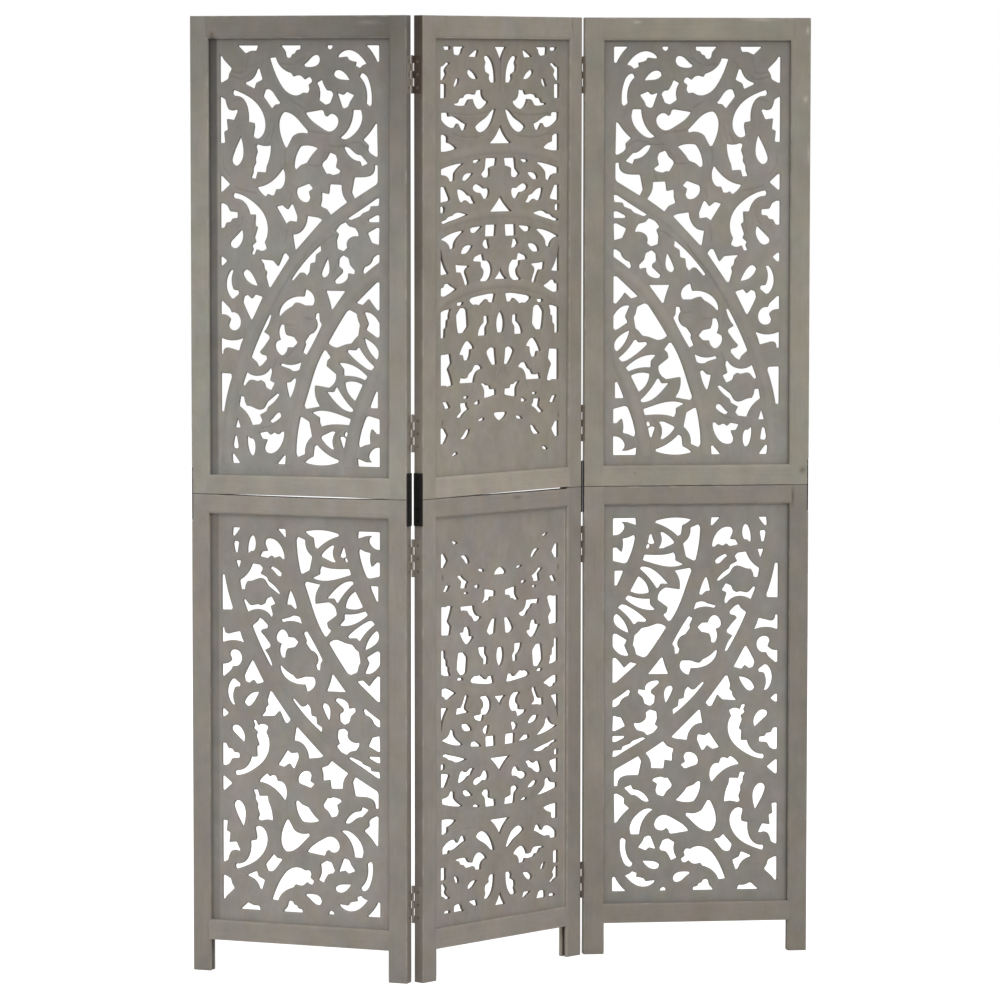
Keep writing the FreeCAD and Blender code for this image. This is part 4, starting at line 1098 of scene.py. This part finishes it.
def swell(face, random):
    """A slow unevenness of a face: a product of sines across and up it, and a finer one half as high."""
    phase = random.uniform(0, FULL_TURN, 4)
    broad = np.sin(face[:, 0] * 41 + phase[0]) * np.sin(face[:, 1] * 33 + phase[1])
    fine = np.sin(face[:, 0] * 97 + phase[2]) * np.sin(face[:, 1] * 83 + phase[3])
    return SWELL_HEIGHT * (broad + 0.5 * fine)


def make_board(node, panel, half, painted_shading, hue, random):
    """Carve one board: outlines, rings and grid, a depth for each point, and walls through the openings."""
    spots, following = divided(*front_outlines(panel, node))
    low, high = spots.min(axis=0), spots.max(axis=0)
    held = ((spots - low < SAME_PLACE) | (high - spots < SAME_PLACE)).any(axis=1)
    rim, before = softened(spots, following, held)
    wood = WoodMap(rim, following)
    bands, lines = (MIDDLE_BANDS, MIDDLE_LINES) if panel.name == "middle" else (SIDE_BANDS, SIDE_LINES)
    drawing = Drawing(spots[~held], panel.name == "left", half == "lower")
    rings = face_rings(rim, before, following, held, wood)
    grid = face_grid(low, high, wood, drawing, bands, lines, half)
    face = np.concatenate([rim, *rings, grid])
    rim_away = np.where(held, EDGE_ROUND, 0.0)
    rings_away = [np.full(len(ring), reach) for ring, reach in zip(rings, RINGS)]
    away = np.concatenate([rim_away, *rings_away, wood.at(grid)])
    carve = carved_height(drawing.of(face), bands, lines, half)[0]
    depth = RECESS + edge_drop(away) + EASE_HEIGHT * np.exp(-away / EASE_REACH)
    depth = depth - carve / MM_PER_METRE - swell(face, random)
    depth = np.clip(depth, RECESS / 2, RECESS + BOARD_THICKNESS / 2)
    depth[:len(rim)][held] = RECESS

    back = np.concatenate([rim, rings[0]])
    back_away = np.concatenate([rim_away, rings_away[0]])
    flat = np.concatenate([face, back])
    deep = np.concatenate([depth, RECESS + BOARD_THICKNESS - edge_drop(back_away) / 2])
    front_faces = triangulated(face, len(rim), following)
    back_faces = triangulated(back, len(rim), following)[:, ::-1] + len(face)
    here = np.arange(len(rim))
    walls = np.stack([following, here, here + len(face), following + len(face)], axis=1)
    # How strongly the walls are painted with shade, at the front and at the back.
    front_shade, back_shade = WALL_SHADES[panel.name]
    attributes = {
        "grain": np.stack([flat[:, 0], flat[:, 1], deep], axis=1) + random.uniform(0, 20, 3),
        "carve": np.concatenate([carve, np.zeros(len(back))]),
        "cut": np.concatenate([np.where(away == 0, front_shade, 0.0), np.where(back_away == 0, back_shade, 0.0)]),
        "tone": painted_shading(flat),
        "warm": np.full(len(flat), hue[0]),
        "yellow": np.full(len(flat), hue[1]),
    }
    points = panel.place(flat[:, 0], deep, flat[:, 1])
    faces = [front_faces, back_faces, walls]
    piece = make_piece("carved_" + node, points, faces, board_finish, node, panel.name + "_panel", attributes)
    return piece


# %% [markdown]
# Beside their left stile the left boards carry a strip of painted shadow, darkest at the top. All the boards
# darken softly towards their frame as painted shade, and a fine line at each edge darkens some edges and
# lightens others as painted shade and light. A middle board has a short dark cut at each side, too narrow to
# see through, painted as a dark spot of shade with no hollow.

# %% All the boards
STRIP_END = 0.0480
STRIP_SOFT = 0.00055
STRIP_HEIGHTS = (0.1, 0.8, 0.9, 1.2, 1.5, 1.62)
STRIP_SHADES = (0.78, 0.7, 0.58, 0.52, 0.42, 0.36)
BOARD_TONES = {
    "left_upper_fretwork": (1.13, 1.05, 1.0, 0.7),
    "left_lower_fretwork": (1.14, 1.12, 1.05, 1.0),
    "middle_upper_fretwork": (1.12, 0.98, 0.97, 0.8),
    "middle_lower_fretwork": (1.08, 1.08, 1.14, 1.02),
    "right_upper_fretwork": (1.03, 0.98, 0.97, 0.7),
    "right_lower_fretwork": (0.97, 1.03, 1.01, 0.92),
}
BOARD_HUES = {
    "left_upper": (0.3, 0.22),
    "left_lower": (0.4, 0.27),
    "middle_upper": (0.57, 0.62),
    "middle_lower": (0.59, 0.36),
    "right_upper": (0.35, 0.43),
    "right_lower": (0.36, 0.33),
}
SLOT_HEIGHTS = {"upper": 0.958, "lower": 0.693}
SLOT_PLACES = (0.0550, 0.3460)
SLOT_REACH = (0.0018, 0.0050)
SLOT_SHADE = 0.6
SOFT_REACH = 0.011
FINE_REACH = 0.0022
EDGE_LIGHT_AND_SHADE = {
    "upper_left": ((0.0, 0.3), (0.0, 0.1), (0.08, 0.12)),
    "upper_right": ((0.24, -0.25), (0.04, 0.0), (0.05, 0.6)),
    "upper_top": ((0.22, -0.55), (0.3, -0.55), (0.36, -0.5)),
    "upper_bottom": ((0.1, -0.05), (0.06, 0.0), (0.1, 0.0)),
    "lower_left": ((0.0, 0.25), (0.0, 0.0), (0.04, 0.05)),
    "lower_right": ((0.12, -0.35), (0.0, -0.55), (0.12, 0.6)),
    "lower_top": ((0.08, -0.22), (0.08, -0.35), (0.08, -0.32)),
    "lower_bottom": ((0.1, 0.0), (0.06, 0.0), (0.1, 0.0)),
}


def board_painted_shading(panel, half):
    """Painted shade and light over a board: its tone by height, soft and fine shade and light towards each
    side of its frame, the slots and the strip of painted shadow.
    """
    base = "%s_%s_" % (panel.name, half)
    sill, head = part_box(base + "bottom_rail")[1][2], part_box(base + "top_rail")[0][2]
    order = list(panels).index(panel.name)

    def painted_shading(flat):
        inwards = {
            "left": flat[:, 0] - STILE_WIDTH,
            "right": PANEL_WIDTH - STILE_WIDTH - flat[:, 0],
            "top": head - flat[:, 1],
            "bottom": flat[:, 1] - sill,
        }
        result = evenly(flat[:, 1] - sill, head - sill, BOARD_TONES[base + "fretwork"])
        # Painted shade softly towards each side of the frame, and a fine line of painted shade, which is
        # painted light where its number is below zero.
        for side, away in inwards.items():
            soft, fine = EDGE_LIGHT_AND_SHADE[half + "_" + side][order]
            away = np.maximum(away, 0)
            result = result * (1 - soft * np.exp(-away / SOFT_REACH))
            result = result * (1 - fine * np.exp(-away / FINE_REACH))
        # The short cuts of a middle board are painted as dark spots of shade, with no hollow.
        if panel.name == "middle":
            slots = [(place, SLOT_HEIGHTS[half], *SLOT_REACH, SLOT_SHADE) for place in SLOT_PLACES]
            result = result * (1 - marks(flat[:, 0], flat[:, 1], slots))
        if panel.name == "left":
            # The strip beside the left stile is a painted shadow, darkest at the top.
            strip = 1 / (1 + np.exp((flat[:, 0] - STRIP_END) / STRIP_SOFT))
            result = result * (1 - strip * (1 - np.interp(flat[:, 1], STRIP_HEIGHTS, STRIP_SHADES)))
        return result
    return painted_shading


boards = []
for panel in panels.values():
    for half in HALVES:
        node = "%s_%s_fretwork" % (panel.name, half)
        hue = BOARD_HUES[panel.name + "_" + half]
        boards.append(make_board(node, panel, half, board_painted_shading(panel, half), hue, random))
        print(node, len(boards[-1].data.vertices), "points", len(boards[-1].data.polygons), "faces")

# %% [markdown]
# ## Metal
# The plates at the seam are black steel. Most hinge leaves and their screws were washed over with the
# frames, the right fold's leaves are browner and one leaf on the middle panel's hinged edge is darker, and the
# pins are steel gone dull.
# Metal shows its finish in its roughness: smears and fine scratches change how wide the highlights are.


# %% Metal finishes
def metal_finish(name, dark, worn, rough, wear, bare):
    """Steel: a dark skin, worn brighter where a fine noise rises, with smears in its roughness."""
    material, shader, start = new_finish(name, Metallic=bare, Specular_IOR_Level=0.3)
    spot = start.node("ShaderNodeTexCoord", output="Object")
    smear = spot.noise((60.0, 60.0, 25.0), 3.0)
    scratch = spot.noise((900.0, 900.0, 60.0), 2.0)
    rubbed = (smear * 0.6 + scratch * 0.5).between(0.5 - wear, 0.95 - wear)
    feed(
        shader,
        Base_Color=rubbed.mixed(dark, worn),
        Roughness=rough + 0.25 * smear - 0.1 * scratch,
        Normal=(scratch + smear).bump(0.15, 0.0002),
    )
    return material


METALS = {
    "joining_plate": metal_finish("black_plate", tone(11, 9, 7), tone(32, 28, 24), 0.5, -0.1, 0.0),
    "leaf": metal_finish("hinge_steel", tone(134, 126, 116), tone(158, 150, 140), 0.46, 0.05, 0.1),
    "pins": metal_finish("hinge_pin", tone(104, 97, 90), tone(170, 164, 156), 0.34, 0.15, 0.7),
    "plate_screws": metal_finish("plate_screw", tone(24, 20, 18), tone(60, 55, 50), 0.36, 0.0, 0.5),
    "hinge_screws": metal_finish("hinge_screw", tone(102, 94, 86), tone(128, 120, 111), 0.4, 0.05, 0.1),
}
DARK_LEAF = "left_fold_hinge_1_middle_leaf"
DARK_STEEL = metal_finish("dark_hinge_steel", tone(76, 63, 56), tone(104, 94, 86), 0.4, 0.0, 0.1)
BROWN_STEEL = metal_finish("brown_hinge_steel", tone(90, 80, 71), tone(116, 106, 96), 0.4, 0.0, 0.1)
for name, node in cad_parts.items():
    for ending, finish in METALS.items():
        if name.endswith(ending):
            finish = BROWN_STEEL if name.startswith("right_fold") and ending == "leaf" else finish
            node.material_slots[0].material = DARK_STEEL if name == DARK_LEAF else finish
print("metal finishes:", ", ".join(METALS))

# %% [markdown]
# ## Floor
# The photograph's ground is plain white. The floor is a pale sheet that adds a little of its own white for
# the camera and for reflections, so it shows white and still keeps the soft shadow at the feet.

# %% Floor
FLOOR_HALF = 14.0
FLOOR_POINTS = 3
FLOOR_COLOUR = (0.82, 0.82, 0.82, 1.0)
FLOOR_WHITE = 0.6

line = np.linspace(-FLOOR_HALF, FLOOR_HALF, FLOOR_POINTS)
across, deep = np.meshgrid(line, line)
points = np.stack([across, deep, 0 * across], axis=-1).reshape(-1, 3)
here = np.arange(across.size).reshape(across.shape)
quads = np.stack([here[:-1, :-1], here[:-1, 1:], here[1:, 1:], here[1:, :-1]], axis=-1).reshape(-1, 4)
mesh = bpy.data.meshes.new("floor")
mesh.from_pydata(points.tolist(), [], quads.tolist())
floor = bpy.data.objects.new("floor", mesh)
scene.collection.objects.link(floor)


def seen_directly(start):
    """1 for rays from the camera, from a mirror or through glass, and 0 for light that falls on things."""
    kinds = ("Is Camera Ray", "Is Glossy Ray", "Is Transmission Ray")
    camera_ray, glossy, through = (start.node("ShaderNodeLightPath", output=kind) for kind in kinds)
    return start.sum("MAXIMUM", camera_ray, start.sum("MAXIMUM", glossy, through))


floor_finish, shader, start = new_finish("pale_floor", Roughness=0.8, Specular_IOR_Level=0.0)
shader.inputs["Base Color"].default_value = FLOOR_COLOUR
shader.inputs["Emission Strength"].default_value = FLOOR_WHITE
feed(shader, Emission_Color=seen_directly(start).grey())
mesh.materials.append(floor_finish)
print("floor side:", 2 * FLOOR_HALF)

# %% [markdown]
# ## Light
# The light is a bright even room with one large soft lamp above and in front, at a level that shows a colour
# as it is written, a small one at the left, and one behind for the backs of the panels.

# %% Light
ROOM_LEVEL = 0.6
WHITE = (1.0, 1.0, 1.0, 1.0)

world = bpy.data.worlds.new("studio")
world.use_nodes = True
room = world.node_tree.nodes["Background"]
room.inputs["Color"].default_value = WHITE
room.inputs["Strength"].default_value = ROOM_LEVEL
start = Wire(world.node_tree)
white = start.node("ShaderNodeBackground", None, {"Color": WHITE, "Strength": 1.0})
parts = {0: seen_directly(start), 1: Wire(world.node_tree, room.outputs[0]), 2: white}
sky = start.node("ShaderNodeMixShader", None, parts)
world.node_tree.links.new(sky.socket, world.node_tree.nodes["World Output"].inputs["Surface"])
scene.world = world

LAMPS = {
    "over": ((0.75, -3.2, 4.3), 2.6, 110.0),
    "left": ((-3.6, -1.4, 2.2), 1.2, 9.0),
    "behind": ((-0.9, 3.4, 3.6), 2.6, 42.0),
}
AIM = Vector((0.0, 0.0, 0.85))
for name, (spot, side, power) in LAMPS.items():
    lamp = bpy.data.lights.new(name, "AREA")
    lamp.shape = "SQUARE"
    lamp.size = side
    lamp.energy = power
    lamp_object = bpy.data.objects.new(name, lamp)
    lamp_object.location = spot
    lamp_object.rotation_euler = (AIM - Vector(spot)).to_track_quat("-Z", "Y").to_euler()
    scene.collection.objects.link(lamp_object)
print("lamps:", ", ".join(LAMPS))

# %% [markdown]
# ## The end

# %% The end
print("scene dressed")
